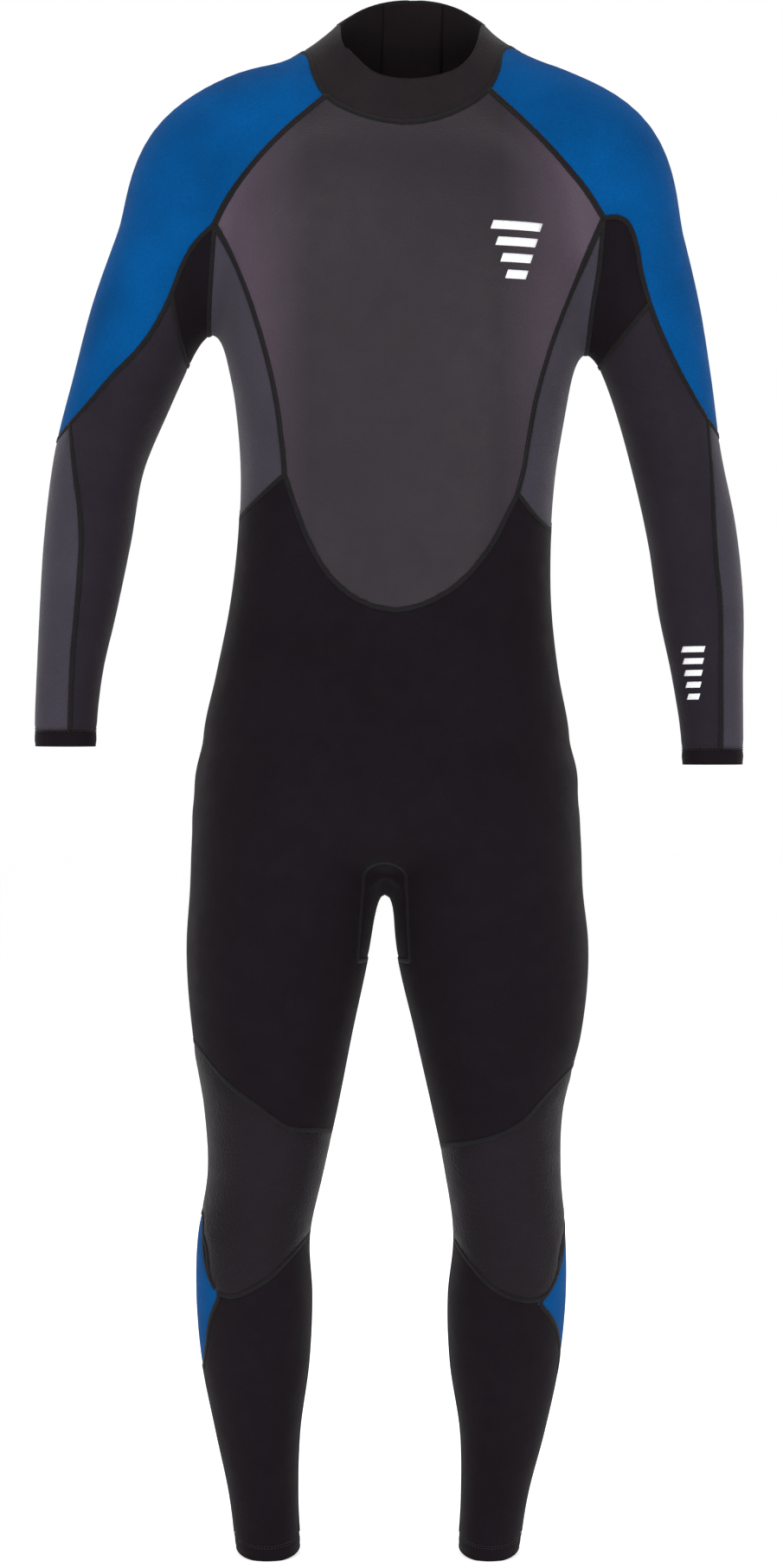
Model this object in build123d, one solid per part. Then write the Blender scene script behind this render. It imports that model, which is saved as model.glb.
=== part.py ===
from build123d import *
import math
import os

# Full wetsuit with a back zip, in the shape it takes on a body. Millimetres, +Z up.
# The chest faces -Y. "left" and "right" are the wearer's, so left is +X.
# It is drawn about the wearer's middle, and moved at the end so that the origin is the middle
# of the bottom of its bounding box.

SKIN = 3.0  # thickness of the neoprene panels
SEAM = 0.3  # gap between one panel and the next
END_OVERLAP = 0.5  # how far a cut runs on past the cut that it meets
FAR = 400.0  # further out than any surface of the suit
TRIM = 170.0  # wider than any leg or sleeve
SIDES = {"left": 1, "right": -1}

# Trunk: height, centre x, centre y, half width, half depth.
TRUNK = [
    (636, -3, 6, 118, 50),
    (656, -2, 7, 168, 92),
    (692, -1, 8, 187, 114),
    (730, -2, 8, 186, 118),
    (787, -2, 6, 175, 113),
    (845, -1, 4, 162, 104),
    (910, 2, 5, 152, 99),
    (979, 6, 6, 148, 100),
    (1032, 9, 4, 149, 102),
    (1100, 12, 1, 157, 105),
    (1178, 12, -1, 172, 107),
    (1250, 13, -1, 172, 107),
    (1320, 15, 4, 163, 102),
    (1370, 18, 14, 138, 92),
    (1405, 20, 19, 114, 86),
    (1435, 18, 17, 97, 78),
    (1465, 22, 12, 76, 68),
    (1520, 22, 6, 70, 66),
]
# Zip line: the back is flat enough along it for the slider to run in a straight line.
BACK_FACE = 106.0

# Legs: height, centre x, centre y, half width, half depth.
LEGS = {
    "right": [
        (760, -80, 4, 70, 84),
        (690, -94, 5, 88, 100),
        (640, -99, 5, 88, 98),
        (591, -104, 4, 87, 93),
        (504, -110, 0, 75, 83),
        (433, -111, -4, 62, 72),
        (375, -116, -4, 54, 64),
        (311, -128, 4, 53, 60),
        (255, -128, 16, 55, 60),
        (189, -127, 26, 51, 54),
        (120, -125, 33, 40, 45),
        (60, -120, 40, 33, 40),
        (-30, -113, 52, 31, 38),
    ],
    "left": [
        (760, 78, 4, 70, 84),
        (690, 90, 5, 88, 100),
        (640, 94, 5, 89, 98),
        (591, 98, 4, 91, 93),
        (504, 104, 0, 78, 83),
        (433, 103, -4, 61, 72),
        (375, 108, -4, 54, 64),
        (311, 115, 4, 53, 60),
        (255, 113, 16, 56, 60),
        (189, 111, 26, 52, 54),
        (120, 109, 33, 40, 45),
        (60, 102, 40, 32, 40),
        (-30, 93, 52, 29, 38),
    ],
}
ANKLE_TILT = 11.0  # the hems sit square to shins that lean back
ANKLE_HEIGHT = 8.5  # height of the middle of the edge of an ankle hem
ANKLE_BACK = 6.0  # how far that middle is in front of the last slice of the leg

# Arms: centre (x, y, z), lean from the vertical in degrees, half width, half depth.
ARMS = {
    "right": [
        ((-78, 12, 1352), 62, 50, 58),
        ((-128, 10, 1338), 54, 60, 66),
        ((-172, 8, 1302), 36, 63, 68),
        ((-201, 6, 1245), 23, 59, 65),
        ((-229, 4, 1180), 20, 54, 60),
        ((-252, 2, 1115), 19, 48, 55),
        ((-273, -1, 1050), 14, 43, 49),
        ((-284, -8, 975), 7, 41, 45),
        ((-292, -22, 905), 6, 36, 39),
        ((-298, -36, 850), 5, 31, 33),
    ],
    "left": [
        ((105, 12, 1360), 62, 50, 58),
        ((158, 10, 1344), 54, 60, 66),
        ((202, 8, 1302), 30, 64, 68),
        ((222, 6, 1245), 18, 60, 65),
        ((242, 4, 1180), 18, 55, 60),
        ((259, 2, 1115), 15, 48, 55),
        ((272, -1, 1050), 12, 43, 49),
        ((287, -8, 975), 7, 42, 45),
        ((294, -22, 905), 5, 40, 41),
        ((299, -36, 840), 3, 33, 34),
    ],
}
# Round wrist cuffs: centre x, centre y, height of the lower edge.
CUFFS = {"right": (-301, -45, 777), "left": (302, -47, 760)}
CUFF_BORE = 26.0
CUFF_HEM = 14.0
CUFF_STRAIGHT = 12.0  # how far above the hem the sleeve turns into a straight round cuff
ANKLE_HEM = 14.0
OVERRUN = 20.0  # how far the form runs on past an end that is then trimmed

# Neck rim, seen from the side as points (y, z): lowest at the throat.
RIM = [(-90, 1388), (-60, 1400), (-40, 1420), (-20, 1441), (4, 1459), (30, 1473), (60, 1487), (100, 1500)]
ABOVE_RIM = 1600.0

# Back zip, along the slightly leaning middle of the back. Its own axes are X across, Y out of the back
# and Z up the chain, with the origin on the outer face at the top of the chain.
ZIP_TOP = (20.6, 1385.0)
ZIP_BOTTOM = (8.0, 985.0)
CHAIN_GAP = 9.0  # width of the slot in the back that shows the teeth
TAPE_WIDTH = 15.0
TAPE_FACES = (-5.1, -4.2)
TEETH_FACES = (-4.2, -1.1)
TOOTH_PITCH = 3.2
TOOTH_WIDTH = 2.7
TOOTH_HEIGHT = 1.6
CHAIN_MIDDLE = 1.2  # clear line down the chain for the post of the slider
SLIDER_WIDTH = 10.0
SLIDER_LENGTH = 12.0
SLIDER_OUTER = (1.2, 2.4)
SLIDER_INNER = (-6.6, -5.5)
SLIDER_REST = -12.0  # height of the middle of the slider with the zip closed
POST_WIDTH = 0.6
EAR_WIDTH = 1.1
BAR_RADIUS = 0.9
BAR_OUT = 4.8  # how far the bar of the slider stands off the back
PULL_WIDTH = 6.0
PULL_THICKNESS = 1.4
PULL_LENGTH = 26.0
EYE_RADIUS = 2.0
EYE_CLEARANCE = 0.08
EAR_CLEARANCE = 0.2
EAR_RIM = 0.4
STOP_SIZE = (7.4, 3.0, 3.0)
TAPE_CLEARANCE = 0.1
FLAP_WIDTH = 60.0
FLAP_OVERLAP = 8.0  # how far the flap reaches above the chain
FLAP_FACES = (-9.5, -7.5)

# Hook-and-loop tab across the back of the collar.
TAB_SPAN_X = (-10.0, 62.0)
TAB_SPAN_Z = (1438.0, 1471.0)
TAB_LAYERS = (1.5, 3.2)
HOOK_SPAN_X = (30.0, 59.0)
HOOK_LAYERS = (1.0, 1.5)
LOOP_LAYERS = (0.3, 0.7)
NECK_FOOT = 1300.0  # the slices above this height shape the layers of the collar
PATCH_MARGIN = 3.0

PIPING_WIDTH = 5.0

# Seams, drawn in the front view as points (x, z). Those on the front stop at the side line y = SIDE_Y,
# where those on the back carry on from the same points.
SIDE_Y = 4.0
UNDERARM = {"left": (200, 1267), "right": (-162, 1262)}
COLLAR_FRONT = [
    (-120, 1446), (-68, 1426), (-62, 1396), (-50, 1375), (-18, 1355), (20, 1350),
    (58, 1355), (90, 1378), (98, 1402), (103, 1431), (150, 1450),
]
COLLAR_BACK = [(-120, 1446), (-68, 1426), (-36, 1426), (20, 1426), (74, 1428), (103, 1431), (150, 1450)]
RAGLAN_FRONT = {
    "left": [(90, 1378), (130, 1350), (160, 1322), (185, 1292), (200, 1267)],
    "right": [(-50, 1375), (-100, 1342), (-128, 1315), (-149, 1287), (-162, 1262)],
}
RAGLAN_BACK = {
    "left": [(74, 1428), (112, 1396), (150, 1345), (182, 1295), (200, 1267)],
    "right": [(-36, 1426), (-72, 1393), (-112, 1342), (-146, 1290), (-162, 1262)],
}
CHEST_EDGE = [
    (200, 1267), (180, 1220), (153, 1152), (137, 1096), (131, 1065), (126, 1033), (120, 1010),
    (114, 998), (95, 961), (67, 927), (39, 909), (13, 901), (-26, 909), (-54, 932), (-73, 963),
    (-85, 994), (-96, 1027), (-103, 1090), (-122, 1168), (-148, 1236), (-162, 1262),
]
CHEST_FOOT = {"left": 6, "right": 16}  # where the chest edge meets the foot of each side panel
SIDE_PANEL_FOOT = {
    "left": [(120, 1010), (136, 992), (200, 961)],
    "right": [(-96, 1027), (-124, 1005), (-200, 945)],
}
WAIST_BACK = [(-200, 945), (-124, 1005), (-92, 1000), (8, 975), (112, 990), (136, 992), (200, 961)]
SIDE_PANEL_BACK = {
    "left": [(200, 1267), (165, 1200), (128, 1120), (112, 1050), (112, 990)],
    "right": [(-162, 1262), (-135, 1200), (-104, 1120), (-92, 1050), (-92, 1000)],
}
SLEEVE_TOP_FRONT = {
    "left": [
        (200, 1267), (219, 1268), (227, 1254), (236, 1212), (243, 1188), (264, 1139), (281, 1109),
        (300, 1082), (350, 1040),
    ],
    "right": [
        (-162, 1262), (-180, 1244), (-190, 1227), (-202, 1197), (-215, 1170), (-232, 1146),
        (-256, 1122), (-282, 1094), (-340, 1043),
    ],
}
SLEEVE_TOP_BACK = {
    "left": [(200, 1267), (222, 1240), (243, 1188), (262, 1140), (282, 1106), (300, 1082), (350, 1040)],
    "right": [
        (-162, 1262), (-184, 1232), (-202, 1197), (-228, 1140), (-256, 1112), (-282, 1094),
        (-340, 1043),
    ],
}
ARMHOLE = {
    "left": [(200, 1267), (197, 1225), (191, 1185), (187, 1145)],
    "right": [(-162, 1262), (-165, 1225), (-168, 1190), (-171, 1150)],
}
GUSSET_FOOT = {
    "left": [(243, 1188), (200, 1136), (184, 1117)],
    "right": [(-202, 1197), (-191, 1141), (-180, 1112)],
}
FOREARM_SIDE_Y = -25.0
FOREARM_FRONT = {
    "left": [(300, 1082), (303, 1030), (304, 982), (305, 954), (308, 920), (308, 829), (307, 774)],
    "right": [(-299, 1079), (-293, 1032), (-288, 998), (-286, 973), (-287, 942), (-293, 852), (-295, 791)],
}
FOREARM_BACK = {
    "left": [(300, 1082), (302, 1000), (304, 940), (306, 850), (306, 774)],
    "right": [(-295, 1083), (-290, 1000), (-292, 940), (-298, 850), (-299, 791)],
}

# The line (y, z) between the front and the back of the legs, and the seams of the knees.
LEG_SIDE_LINE = [(4, 995), (6, 650), (1, 504), (-2, 410), (4, 320), (20, 240), (33, 120), (54, -40)]
GUSSET_CENTRE = (-4, 10)
GUSSET_HALF = (34, 72)
GUSSET_LOW = 575.0
GUSSET_RISE = 120.0
KNEE_TOP_FRONT = {
    "left": [(225, 505), (171, 473), (143, 448), (127, 430), (94, 413), (70, 407), (48, 400), (25, 392)],
    "right": [
        (-235, 530), (-183, 498), (-151, 465), (-116, 439), (-94, 423), (-65, 418), (-53, 414),
        (-25, 405),
    ],
}
KNEE_FOOT_FRONT = {
    "left": [
        (205, 342), (167, 318), (158, 278), (151, 264), (140, 258), (116, 261), (94, 273),
        (73, 296), (61, 311), (35, 335),
    ],
    "right": [
        (-215, 345), (-174, 316), (-165, 272), (-158, 263), (-143, 262), (-131, 268), (-112, 279),
        (-100, 290), (-76, 314), (-50, 335),
    ],
}
KNEE_TOP_BACK = {
    "left": [(225, 450), (103, 430), (20, 440)],
    "right": [(-235, 450), (-110, 430), (-20, 440)],
}
KNEE_FOOT_BACK = {
    "left": [(205, 342), (113, 322), (35, 335)],
    "right": [(-215, 342), (-125, 322), (-50, 335)],
}
CALF_FRONT = {
    "left": [
        (240, 341), (167, 336), (164, 296), (158, 277), (151, 264), (140, 255), (149, 245), (158, 230),
        (162, 215), (163, 194), (162, 178), (240, 178),
    ],
    "right": [
        (-240, 341), (-175, 336), (-171, 285), (-165, 270), (-158, 261), (-163, 251), (-169, 233),
        (-172, 212), (-175, 197), (-176, 185), (-240, 185),
    ],
}
CALF_BACK = {
    "left": [
        (240, 341), (167, 336), (140, 318), (122, 285), (118, 250), (130, 215), (150, 188), (162, 178),
        (240, 178),
    ],
    "right": [
        (-240, 341), (-175, 336), (-150, 318), (-132, 285), (-128, 250), (-140, 215), (-160, 192),
        (-176, 185), (-240, 185),
    ],
}
CALF_SIDE_Y = 20.0


def section(centre, half_width, half_depth, lean=0.0, side=1):
    """An oval slice of a limb or of the trunk, square to its run."""
    tilt = math.radians(lean)
    along = Vector(side * math.sin(tilt), 0, -math.cos(tilt))
    across = Vector(math.cos(tilt), 0, side * math.sin(tilt))
    return Plane(origin=centre, x_dir=across, z_dir=along) * Ellipse(half_width, half_depth)


def tube(slices, inset):
    """A closed body through the slices, thinner than them by inset all round."""
    faces = []
    for centre, half_width, half_depth, lean, side in slices:
        faces.append(section(centre, half_width - inset, half_depth - inset, lean, side))
    return loft(faces)


def upright_slices(rows):
    """The slices of the trunk or of a leg, which are all level."""
    return [((x, y, z), hw, hd, 0.0, 1) for z, x, y, hw, hd in rows]


def arm_slices(side):
    """The slices of an arm, which lean with it, and of its straight cuff."""
    slices = [(c, hw, hd, lean, SIDES[side]) for c, lean, hw, hd in ARMS[side]]
    x, y, low = CUFFS[side]
    for height in (CUFF_HEM + CUFF_STRAIGHT, 0, -OVERRUN):
        slices.append(((x, y, low + height), CUFF_BORE + SKIN, CUFF_BORE + SKIN, 0.0, 1))
    return slices


def body_form(inset):
    """The whole suit as one closed body, before it is opened at its five ends."""
    crotch, *rest = TRUNK
    raised = (crotch[0] + inset, *crotch[1:])
    form = tube(upright_slices([raised, *rest]), inset)
    for side in SIDES:
        form += tube(upright_slices(LEGS[side]), inset)
        form += tube(arm_slices(side), inset)
    return form


def below_ankle(side, raise_by=0.0):
    """Everything below the edge of an ankle hem, or below a plane that is raised above the edge."""
    last = LEGS[side][-1]
    tilt = math.radians(ANKLE_TILT)
    normal = Vector(0, math.sin(tilt), -math.cos(tilt))
    centre = Vector(last[1], last[2] - ANKLE_BACK, ANKLE_HEIGHT) - normal * raise_by
    return extrude(Plane(origin=centre, z_dir=normal) * Rectangle(TRIM, TRIM), TRIM)


def open_ends(shell):
    """Trim the neck, the wrists and the ankles."""
    rim = [(-FAR, y, z) for y, z in RIM]
    lid = [(-FAR, RIM[-1][0], ABOVE_RIM), (-FAR, RIM[0][0], ABOVE_RIM)]
    outline = Polyline(*rim, *lid, close=True)
    shell -= extrude(make_face(outline), amount=2 * FAR, dir=(1, 0, 0))
    for side in SIDES:
        x, y, low = CUFFS[side]
        shell -= Pos(x, y, low - OVERRUN) * Box(TRIM, TRIM, 2 * OVERRUN)
        shell -= below_ankle(side)
    return shell


def offset_points(points, distance):
    """The points moved sideways by the distance, square to the line through their neighbours."""
    moved = []
    for i, (x, z) in enumerate(points):
        before = points[max(i - 1, 0)]
        after = points[min(i + 1, len(points) - 1)]
        dx, dz = after[0] - before[0], after[1] - before[1]
        length = math.hypot(dx, dz)
        moved.append((x - dz / length * distance, z + dx / length * distance))
    return moved


def lengthened(points):
    """The line with both ends drawn out a little, so that it crosses the lines that it meets."""
    ends = []
    for tip, inner in ((points[0], points[1]), (points[-1], points[-2])):
        reach = END_OVERLAP / math.dist(tip, inner)
        ends.append((tip[0] + (tip[0] - inner[0]) * reach, tip[1] + (tip[1] - inner[1]) * reach))
    return [ends[0], *points[1:-1], ends[1]]


def wall(points, y_low, y_high, width=SEAM):
    """A thin wall that follows a line drawn in the front view, from y_low to y_high."""
    points = lengthened(points)
    one = [(x, y_high, z) for x, z in offset_points(points, width / 2)]
    other = [(x, y_high, z) for x, z in offset_points(points, -width / 2)]
    outline = Polyline(*one, *other[::-1], close=True)
    return extrude(make_face(outline), amount=y_high - y_low, dir=(0, -1, 0))


def front_wall(points):
    return wall(points, -FAR, SIDE_Y + END_OVERLAP)


def back_wall(points):
    return wall(points, SIDE_Y - END_OVERLAP, FAR)


def side_wall(points, x_low, x_high):
    """A thin wall between the front and the back, following points (y, z)."""
    points = lengthened(points)
    one = [(x_low, y, z) for y, z in offset_points(points, SEAM / 2)]
    other = [(x_low, y, z) for y, z in offset_points(points, -SEAM / 2)]
    outline = Polyline(*one, *other[::-1], close=True)
    return extrude(make_face(outline), amount=x_high - x_low, dir=(1, 0, 0))


def prism(points, y_low, y_high, grow=0.0):
    """Everything inside an outline drawn in the front view, grown by the given amount."""
    outline = Polyline(*[(x, y_high, z) for x, z in points], close=True)
    face = make_face(outline)
    if grow:
        face = offset(face, amount=grow, kind=Kind.INTERSECTION)
    return extrude(face, amount=y_high - y_low, dir=(0, -1, 0))


def cuff_hem(side):
    """The round hem at the end of a sleeve."""
    x, y, low = CUFFS[side]
    height = CUFF_HEM - SEAM / 2
    hem = Cylinder(CUFF_BORE + SKIN, height) - Cylinder(CUFF_BORE, height)
    return Pos(x, y, low + height / 2) * hem


def piping_walls(side, width):
    """Bands along the raglan seams and the side of the chest, as wide as given."""
    if side == "left":
        chest_line = CHEST_EDGE[: CHEST_FOOT["left"] + 1]
    else:
        chest_line = CHEST_EDGE[CHEST_FOOT["right"] :]
    return {
        f"raglan_piping_front_{side}": wall(RAGLAN_FRONT[side], -FAR, SIDE_Y, width),
        f"raglan_piping_back_{side}": wall(RAGLAN_BACK[side], SIDE_Y, FAR, width),
        f"chest_piping_{side}": wall(chest_line, -FAR, SIDE_Y, width),
    }


def trunk_walls():
    """The seams of the collar, the back, the sleeves and the foot of the chest."""
    walls = [front_wall(COLLAR_FRONT), back_wall(COLLAR_BACK), back_wall(WAIST_BACK)]
    walls.append(front_wall(CHEST_EDGE[CHEST_FOOT["left"] : CHEST_FOOT["right"] + 1]))
    walls.append(back_wall([ZIP_BOTTOM, (ZIP_BOTTOM[0], WAIST_BACK[3][1])]))
    for side in SIDES:
        for line in (SIDE_PANEL_FOOT, SLEEVE_TOP_FRONT):
            walls.append(front_wall(line[side]))
        for line in (SIDE_PANEL_BACK, SLEEVE_TOP_BACK):
            walls.append(back_wall(line[side]))
        walls.append(wall(FOREARM_FRONT[side], -FAR, FOREARM_SIDE_Y + END_OVERLAP))
        walls.append(wall(FOREARM_BACK[side], FOREARM_SIDE_Y - END_OVERLAP, FAR))
        for line in (ARMHOLE, GUSSET_FOOT):
            walls.append(wall(line[side], -FAR, FAR))
        x, y, low = CUFFS[side]
        walls.append(Pos(x, y, low + CUFF_HEM) * Box(TRIM, TRIM, SEAM))
    return walls


def knee_walls(*lines):
    """The seams across both legs above and below the knees."""
    return [wall(line[side], -FAR, FAR) for side in SIDES for line in lines]


def calf_region(side, grow):
    """The leaf-shaped outline of the coloured calf panel, which wraps round the outer side."""
    front = prism(CALF_FRONT[side], -FAR, CALF_SIDE_Y, grow)
    return front + prism(CALF_BACK[side], CALF_SIDE_Y, FAR, grow)


def gusset_region(grow):
    """The oval well through the crotch that cuts out the gusset."""
    half_x, half_y = GUSSET_HALF
    oval = Plane(origin=(*GUSSET_CENTRE, GUSSET_LOW - grow)) * Ellipse(half_x + grow, half_y + grow)
    return extrude(oval, amount=GUSSET_RISE)


def zip_slot():
    """The slot down the back between the two halves of the zip."""
    (x_top, z_top), (x_low, z_low) = ZIP_TOP, ZIP_BOTTOM
    rise = (x_top - x_low) / (z_top - z_low)
    top = (x_top + rise * FAR / 2, z_top + FAR / 2)
    return wall([(x_low, z_low), top], SIDE_Y, FAR, CHAIN_GAP)


def nearest(solids, spots):
    """Name each solid after the spot that is nearest to its middle."""
    named = {}
    for name, spot in spots.items():
        named[name] = min(solids, key=lambda solid: (solid.center() - Vector(*spot)).length)
    return named


def zip_place(x=0.0, y=0.0, z=0.0):
    """A place given in the zip's own axes."""
    lean = math.degrees(math.atan2(ZIP_TOP[0] - ZIP_BOTTOM[0], ZIP_TOP[1] - ZIP_BOTTOM[1]))
    return Pos(ZIP_TOP[0], BACK_FACE, ZIP_TOP[1]) * Rot(0, lean, 0) * Pos(x, y, z)


def block(x_span, y_span, z_span):
    """A box between the given faces, in the zip's own axes."""
    spans = (x_span, y_span, z_span)
    middle = [(low + high) / 2 for low, high in spans]
    return zip_place(*middle) * Box(*[high - low for low, high in spans])


def zip_length():
    return math.dist(ZIP_TOP, ZIP_BOTTOM)


def zip_tape(sign, clearance=0.0):
    """The tape along one side of the chain, or with a clearance the room that it needs."""
    near, far = CHAIN_MIDDLE / 2, CHAIN_MIDDLE / 2 + TAPE_WIDTH + clearance
    faces = (TAPE_FACES[0] - clearance, TAPE_FACES[1] + clearance)
    return block(sorted((sign * near, sign * far)), faces, (-zip_length() - clearance, clearance))


def zip_teeth(sign):
    """One side of the chain. The two sides are staggered by half a pitch."""
    x_span = sorted((sign * CHAIN_MIDDLE / 2, sign * (CHAIN_MIDDLE / 2 + TOOTH_WIDTH)))
    first = TOOTH_PITCH if sign > 0 else 1.5 * TOOTH_PITCH
    count = int((zip_length() - 2 * STOP_SIZE[2] - first) / TOOTH_PITCH)
    teeth = []
    for i in range(count):
        top = -STOP_SIZE[2] - first - i * TOOTH_PITCH
        teeth.append(block(x_span, TEETH_FACES, (top - TOOTH_HEIGHT, top)))
    return Compound(teeth)


def zip_stop(z_top, gap):
    """A stop across the chain. The top one is in two halves, which part with the tapes."""
    width, depth, height = STOP_SIZE
    y_span = (TEETH_FACES[0], TEETH_FACES[0] + depth)
    if not gap:
        return block((-width / 2, width / 2), y_span, (z_top - height, z_top))
    halves = [block(sorted((s * gap / 2, s * width / 2)), y_span, (z_top - height, z_top)) for s in (1, -1)]
    return Compound(halves)


def zip_slider():
    """Two plates joined by a thin post, with two ears that carry the bar for the pull."""
    z_span = (SLIDER_REST - SLIDER_LENGTH / 2, SLIDER_REST + SLIDER_LENGTH / 2)
    half = SLIDER_WIDTH / 2
    body = block((-half, half), SLIDER_OUTER, z_span)
    body += block((-half, half), SLIDER_INNER, z_span)
    post_z = (SLIDER_REST - SLIDER_LENGTH / 4, SLIDER_REST + SLIDER_LENGTH / 4)
    body += block((-POST_WIDTH / 2, POST_WIDTH / 2), (SLIDER_INNER[1], SLIDER_OUTER[0]), post_z)
    ear_in = PULL_WIDTH / 2 + EAR_CLEARANCE
    ear_z = (SLIDER_REST - EYE_RADIUS, SLIDER_REST + EYE_RADIUS)
    for sign in (1, -1):
        x_span = sorted((sign * ear_in, sign * (ear_in + EAR_WIDTH)))
        body += block(x_span, (SLIDER_OUTER[1], BAR_OUT + BAR_RADIUS + EAR_RIM), ear_z)
    bar = Rot(0, 90, 0) * Cylinder(BAR_RADIUS, 2 * ear_in + EAR_WIDTH)
    return body + zip_place(0, BAR_OUT, SLIDER_REST) * bar


def zip_pull():
    """The tab that hangs from the bar of the slider."""
    half = PULL_WIDTH / 2
    eye = zip_place(0, BAR_OUT, SLIDER_REST) * Rot(0, 90, 0) * Cylinder(EYE_RADIUS, PULL_WIDTH)
    faces = (BAR_OUT - PULL_THICKNESS / 2, BAR_OUT + PULL_THICKNESS / 2)
    tab = block((-half, half), faces, (SLIDER_REST - PULL_LENGTH, SLIDER_REST))
    hole = zip_place(0, BAR_OUT, SLIDER_REST) * Rot(0, 90, 0)
    return eye + tab - hole * Cylinder(BAR_RADIUS + EYE_CLEARANCE, 2 * PULL_WIDTH)


def neck_layer(layers, x_span, z_span):
    """A patch of cloth on the back of the collar, between two heights above its face."""
    low, high = layers
    rows = [row for row in TRUNK if row[0] > NECK_FOOT]
    skin = tube(upright_slices(rows), -high) - tube(upright_slices(rows), -low)
    middle = ((x_span[0] + x_span[1]) / 2, FAR / 2, (z_span[0] + z_span[1]) / 2)
    return skin & Pos(*middle) * Box(x_span[1] - x_span[0], FAR, z_span[1] - z_span[0])


def collar_closure():
    """The tab across the back of the collar, with its hook patch and the loop patch that it grips."""
    patch_z = (TAB_SPAN_Z[0] + PATCH_MARGIN, TAB_SPAN_Z[1] - PATCH_MARGIN)
    return {
        "collar_tab": neck_layer(TAB_LAYERS, TAB_SPAN_X, TAB_SPAN_Z),
        "hook_patch": neck_layer(HOOK_LAYERS, HOOK_SPAN_X, patch_z),
        "loop_patch": neck_layer(LOOP_LAYERS, HOOK_SPAN_X, patch_z),
    }


def back_zip():
    """The parts of the zip."""
    return {
        "zip_tape_left": zip_tape(1),
        "zip_tape_right": zip_tape(-1),
        "zip_teeth_left": zip_teeth(1),
        "zip_teeth_right": zip_teeth(-1),
        "zip_stop_top": zip_stop(0, CHAIN_MIDDLE),
        "zip_stop_bottom": zip_stop(-zip_length() + STOP_SIZE[2], 0),
        "zip_flap": block((-FLAP_WIDTH / 2, FLAP_WIDTH / 2), FLAP_FACES, (-zip_length(), FLAP_OVERLAP)),
        "zip_slider": zip_slider(),
        "zip_pull": zip_pull(),
    }


# Roughly the middle of each panel, to tell which solid is which.
UPPER_SPOTS = {
    "chest_panel": (18, -85, 1165),
    "collar": (17, 13, 1428),
    "back_panel_left": (87, 88, 1211),
    "back_panel_right": (-56, 89, 1212),
    "side_panel_left": (158, 9, 1102),
    "side_panel_right": (-135, 4, 1112),
    "shoulder_panel_left": (228, 7, 1285),
    "shoulder_panel_right": (-204, 7, 1274),
    "underarm_gusset_left": (209, 1, 1193),
    "underarm_gusset_right": (-181, 4, 1191),
    "sleeve_inner_left": (262, -12, 991),
    "sleeve_inner_right": (-252, -9, 1004),
    "forearm_outer_left": (319, -19, 925),
    "forearm_outer_right": (-313, -20, 934),
}
FRONT_SPOTS = {
    "front_trunk_panel": (0, -60, 740),
    "knee_pad_left": (119, -39, 361),
    "knee_pad_right": (-128, -41, 376),
    "shin_panel_left": (102, -2, 156),
    "shin_panel_right": (-118, -3, 158),
}
BACK_SPOTS = {
    "seat_panel": (0, 80, 740),
    "knee_back_left": (115, 39, 368),
    "knee_back_right": (-125, 39, 383),
    "calf_back_left": (98, 59, 154),
    "calf_back_right": (-115, 59, 156),
}


def upper_body(shell):
    """The panels from the waist up, and what is left of the shell below them."""
    nodes = {}
    walls = trunk_walls() + [zip_slot()]
    for side in SIDES:
        grooves = piping_walls(side, PIPING_WIDTH + 2 * SEAM)
        for name, band in piping_walls(side, PIPING_WIDTH).items():
            if name.startswith("chest"):
                band -= grooves[f"raglan_piping_front_{side}"]
            nodes[name] = max((shell & band).solids(), key=lambda solid: solid.volume)
        walls += grooves.values()
    solids = (shell - walls).solids()
    lower = max(solids, key=lambda solid: solid.volume)
    nodes.update(nearest(solids, UPPER_SPOTS))
    for side, sign in SIDES.items():
        nodes[f"back_panel_{side}"] -= zip_tape(sign, TAPE_CLEARANCE)
        nodes[f"cuff_hem_{side}"] = cuff_hem(side)
    return nodes, lower


def lower_body(lower):
    """The panels from the waist down."""
    nodes = {"crotch_gusset": (lower & gusset_region(0)).solids()[0]}
    lower = lower - gusset_region(SEAM)
    for side in SIDES:
        nodes[f"calf_panel_{side}"] = (lower & calf_region(side, 0)).solids()[0]
        lower = lower - calf_region(side, SEAM)
    above_hems = lower
    for side in SIDES:
        nodes[f"ankle_hem_{side}"] = (lower & below_ankle(side, ANKLE_HEM)).solids()[0]
        above_hems -= below_ankle(side, ANKLE_HEM + SEAM)
    halves = (above_hems - side_wall(LEG_SIDE_LINE, -FAR, FAR)).solids()
    halves = sorted(halves, key=lambda solid: -solid.volume)[:2]
    front, back = sorted(halves, key=lambda solid: solid.center().Y)
    nodes.update(nearest((front - knee_walls(KNEE_TOP_FRONT, KNEE_FOOT_FRONT)).solids(), FRONT_SPOTS))
    nodes.update(nearest((back - knee_walls(KNEE_TOP_BACK, KNEE_FOOT_BACK)).solids(), BACK_SPOTS))
    return nodes


def main():
    nodes, lower = upper_body(open_ends(body_form(0.0) - body_form(SKIN)))
    nodes.update(lower_body(lower))
    nodes.update(back_zip())
    nodes.update(collar_closure())
    box = Compound([solid for shape in nodes.values() for solid in shape.solids()]).bounding_box()
    middle = box.center()
    shift = Pos(-middle.X, -middle.Y, -box.min.Z)
    print("moved by", -middle.X, -middle.Y, -box.min.Z, "size", box.size)
    os.makedirs("parts", exist_ok=True)
    for name, shape in nodes.items():
        export_step(shift * shape, f"parts/{name}.step")


main()
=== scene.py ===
import math

import bpy
import numpy as np
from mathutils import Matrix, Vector, kdtree


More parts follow.
